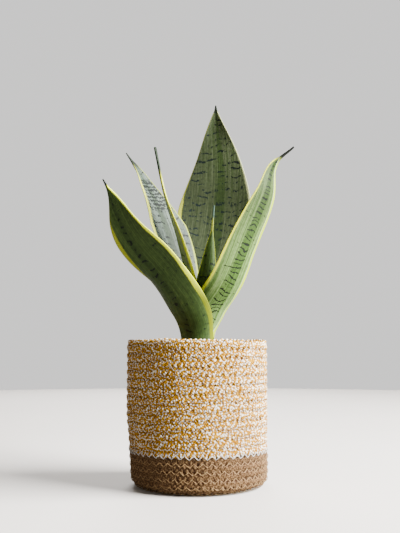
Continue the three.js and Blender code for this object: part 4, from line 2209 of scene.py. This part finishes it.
    def build(self) -> Tree:
        """Lays the markings one on another.

        Returns:
            The group, with the leaf's colour and a height for bump.
        """
        marks = self.math("MAXIMUM", self._bars(), self._net())
        colour = self.blend(self.product(marks, self.MARK_DEPTH), self._field(), self.take("mark"))
        height = self.scaled(self.fine, 0.6, self.product(self.mottle, 0.25))
        return self.give(colour=self._tip(self._margins(colour)), height=self.scaled(marks, -0.15, height))


LEAF_FINISHES = {
    # Low and last shade paint shade on the lower blade and beside the last edge.
    "leaf_front_left": LeafFinish(
        slot=Slot.LEAF_DARK, ground=tint(54, 74, 34), streak=tint(68, 88, 44), stripe=tint(46, 64, 30),
        mark=tint(14, 22, 16), first_margin=9.0, last_margin=5.6, first_edge=tint(146, 154, 44),
        # first_low colours the lower first margin pale grey-green, a painted sheen on the real margin.
        last_edge=tint(228, 242, 44), first_start=40.0, first_reach=92.0, first_low=tint(122, 138, 96),
        last_low=tint(88, 97, 0), change=150.0, stripe_middle=-0.25, stripe_half=0.13,
        bars_in_stripe=0.75, bars_in_field=0.03, tip_length=7.0, low_shade=0.92, last_shade=0.72,
        seed=2.0,
    ),
    # Low shade above 1 paints light on the lower blade.
    "leaf_right": LeafFinish(
        slot=Slot.LEAF_GREEN, ground=tint(51, 71, 30), streak=tint(76, 93, 53), stripe=tint(26, 46, 5),
        mark=tint(3, 7, 5), first_margin=3.0, last_margin=14.0, first_edge=tint(196, 202, 40),
        # Painted highlight along the ridge by the far margin.
        last_edge=tint(150, 170, 6), painted_rim_highlight=0.8, stripe_middle=-0.14, stripe_half=0.24,
        stripe_fade=235.0, bars_in_stripe=1.1, bars_in_field=0.08, bar_spacing=5.6, tip=tint(14, 18, 12),
        tip_length=26.0, low_shade=1.95, seed=11.0,
    ),
    # Low and last shade paint shade on the lower blade and the last half; first shade above 1 paints light on
    # the first half.
    "leaf_back": LeafFinish(
        slot=Slot.LEAF_GREEN, ground=tint(69, 80, 54), streak=tint(88, 99, 72), stripe=tint(54, 72, 36),
        mark=tint(14, 24, 28), first_margin=3.4, last_margin=5.0, first_edge=tint(158, 164, 120),
        last_edge=tint(146, 150, 50), last_start=120.0, stripe_middle=-0.12, stripe_half=0.14,
        bars_in_stripe=0.05, bars_in_field=0.5, low_shade=0.56, first_shade=1.3, last_shade=0.66,
        seed=23.0,
    ),
    # Low shade paints shade on the lower blade.
    "leaf_left": LeafFinish(
        slot=Slot.LEAF_SILVERY, ground=tint(56, 68, 60), streak=tint(88, 98, 90), stripe=tint(44, 56, 42),
        # The last margin is 10 mm wide: partly the real yellow margin, partly painted light over the shadow
        # that leaf_edge_on casts here.
        mark=tint(6, 10, 10), first_margin=2.4, last_margin=10.0, first_edge=tint(132, 144, 50),
        last_edge=tint(160, 166, 60), stripe_middle=0.0, stripe_half=0.2, bars_in_stripe=0.1,
        bars_in_field=0.45, band_start=38.0, band_end=92.0, band_strength=1.0, tip_length=26.0,
        low_shade=0.8, seed=37.0,
    ),
    # Low shade paints shade toward the root.
    "leaf_edge_on": LeafFinish(
        slot=Slot.LEAF_GREEN, ground=tint(134, 148, 130), streak=tint(150, 160, 146),
        stripe=tint(116, 132, 106), mark=tint(34, 48, 36), first_margin=3.0, last_margin=3.0,
        first_edge=tint(196, 202, 50), last_edge=tint(196, 202, 50), stripe_middle=0.0, stripe_half=0.25,
        bars_in_stripe=0.3, bars_in_field=0.2, tip=tint(20, 34, 16), tip_length=44.0, low_shade=0.62,
        seed=41.0,
    ),
    "leaf_heart": LeafFinish(
        slot=Slot.LEAF_DARK, ground=tint(50, 68, 32), streak=tint(66, 86, 42), stripe=tint(66, 90, 34),
        mark=tint(22, 34, 24), first_margin=2.4, last_margin=2.0, first_edge=tint(190, 196, 70),
        stripe_middle=0.5, stripe_half=0.35, bars_in_stripe=0.2, bars_in_field=0.3, tip=tint(58, 80, 70),
        tip_length=18.0, seed=53.0,
    ),
}


@dataclass
class Foliage:
    """The six leaves."""

    forms: tuple[LeafForm, ...] = LEAVES

    def build(self) -> None:
        """Makes the leaves and dresses them."""
        markings = LeafMarkings().build()
        for form in self.forms:
            finish = LEAF_FINISHES[form.name]
            skin = finish.material(form.name + "_skin", markings)
            settle(Blade(form).build(), skin, finish.slot, form.name)


# Studio


@dataclass(frozen=True)
class Lamp:
    """A soft square lamp that looks at the plant, in metres and watts."""

    name: str
    place: tuple[float, float, float]
    size: float
    power: float
    colour: tuple[float, float, float]
    aim: tuple[float, float, float] = (0.0, 0.0, 0.22)

    def hang(self) -> None:
        """Adds the lamp."""
        put_down_everything()
        bpy.ops.object.light_add(type="AREA", location=self.place)
        lamp = added(self.name)
        lamp.data.shape = "SQUARE"
        lamp.data.size = self.size
        lamp.data.energy = self.power
        lamp.data.color = self.colour
        way = Vector(self.aim) - Vector(self.place)
        lamp.rotation_euler = way.to_track_quat("-Z", "Y").to_euler()


@dataclass(frozen=True)
class FloorFinish:
    """Finish of the pale floor, which throws less light on the plant than it shows the camera."""

    name: str = "pale_floor"
    dark: Colour = tint(204, 200, 196)
    light: Colour = tint(214, 210, 206)
    thrown: Colour = tint(124, 120, 116)
    grain_scale: float = 3.0
    roughness: float = 0.7

    def material(self) -> Material:
        """Builds the material.

        Returns:
            The material.
        """
        bench = MaterialBench(self.name)
        grain = bench.noise(bench.object_place(), self.grain_scale, 3.0)
        pale = bench.blend(grain, self.dark, self.light)
        seen = bench.node("ShaderNodeLightPath").outputs["Is Camera Ray"]
        bench.surface(Base_Color=bench.blend(seen, self.thrown, pale), Roughness=self.roughness)
        return bench.material


@dataclass
class Studio:
    """Pale floor, soft light and the camera at the photograph's angle."""

    camera_place: tuple[float, float, float] = (3.4, -824.0, 150.0)
    camera_pitch: float = 6.6
    lens: float = 48.36
    sensor: float = 36.0
    nearest_seen: float = 10.0
    floor_radius: float = 2000.0
    floor_sides: int = 128
    floor_finish: FloorFinish = FloorFinish()
    lamps: tuple[Lamp, ...] = (
        Lamp("key_lamp", (1.6, -0.5, 1.1), 1.4, 430.0, (1.0, 0.98, 0.95)),
        Lamp("fill_lamp", (-1.0, -1.5, 0.8), 1.4, 5.5, (1.0, 0.9, 0.78)),
        Lamp("back_lamp", (-0.2, 1.8, 1.2), 1.2, 55.0, (1.0, 0.98, 0.96)),
    )
    room_colour: Colour = (0.9, 0.84, 0.76, 1.0)
    room_light: float = 0.14
    backdrop_colour: Colour = (0.9, 0.89, 0.88, 1.0)
    backdrop_light: float = 1.03

    def build(self) -> None:
        """Sets the stage."""
        self._floor()
        for lamp in self.lamps:
            lamp.hang()
        self._surroundings()
        self._camera()

    def _floor(self) -> None:
        """Lays the round floor."""
        put_down_everything()
        bpy.ops.mesh.primitive_circle_add(
            vertices=self.floor_sides, radius=self.floor_radius * MM, fill_type="NGON"
        )
        floor = added("floor")
        floor.data.materials.append(self.floor_finish.material())

    def _surroundings(self) -> None:
        """Lights the room softly behind a pale backdrop."""
        world = bpy.data.worlds.new("soft_room")
        world.use_nodes = True
        bench = NodeBench(world.node_tree)
        backing = world.node_tree.nodes["Background"]
        seen = bench.node("ShaderNodeLightPath").outputs["Is Camera Ray"]
        colour = bench.blend(seen, self.room_colour, self.backdrop_colour)
        bench.feed(backing.inputs["Color"], colour)
        bench.feed(backing.inputs["Strength"], bench.scaled(seen, self.backdrop_light, self.room_light))
        bpy.context.scene.world = world

    def _camera(self) -> None:
        """Stands the camera where the photograph was taken."""
        put_down_everything()
        bpy.ops.object.camera_add(
            location=[value * MM for value in self.camera_place],
            rotation=(math.radians(90.0 + self.camera_pitch), 0.0, 0.0),
        )
        camera = added("photo_camera")
        camera.data.sensor_width = self.sensor
        camera.data.lens = self.lens
        camera.data.clip_start = self.nearest_seen * MM
        bpy.context.scene.camera = camera


def main() -> None:
    """Builds and dresses every piece."""
    logging.basicConfig(level=logging.INFO, format="%(name)s %(message)s")
    put_down_everything()
    Studio().build()
    Basket().build(twisted_yarn_group())
    pot = NurseryPot()
    pot.build()
    PottingMix(pot).build()
    Foliage().build()
    put_down_everything()


if __name__ == "__main__":
    main()
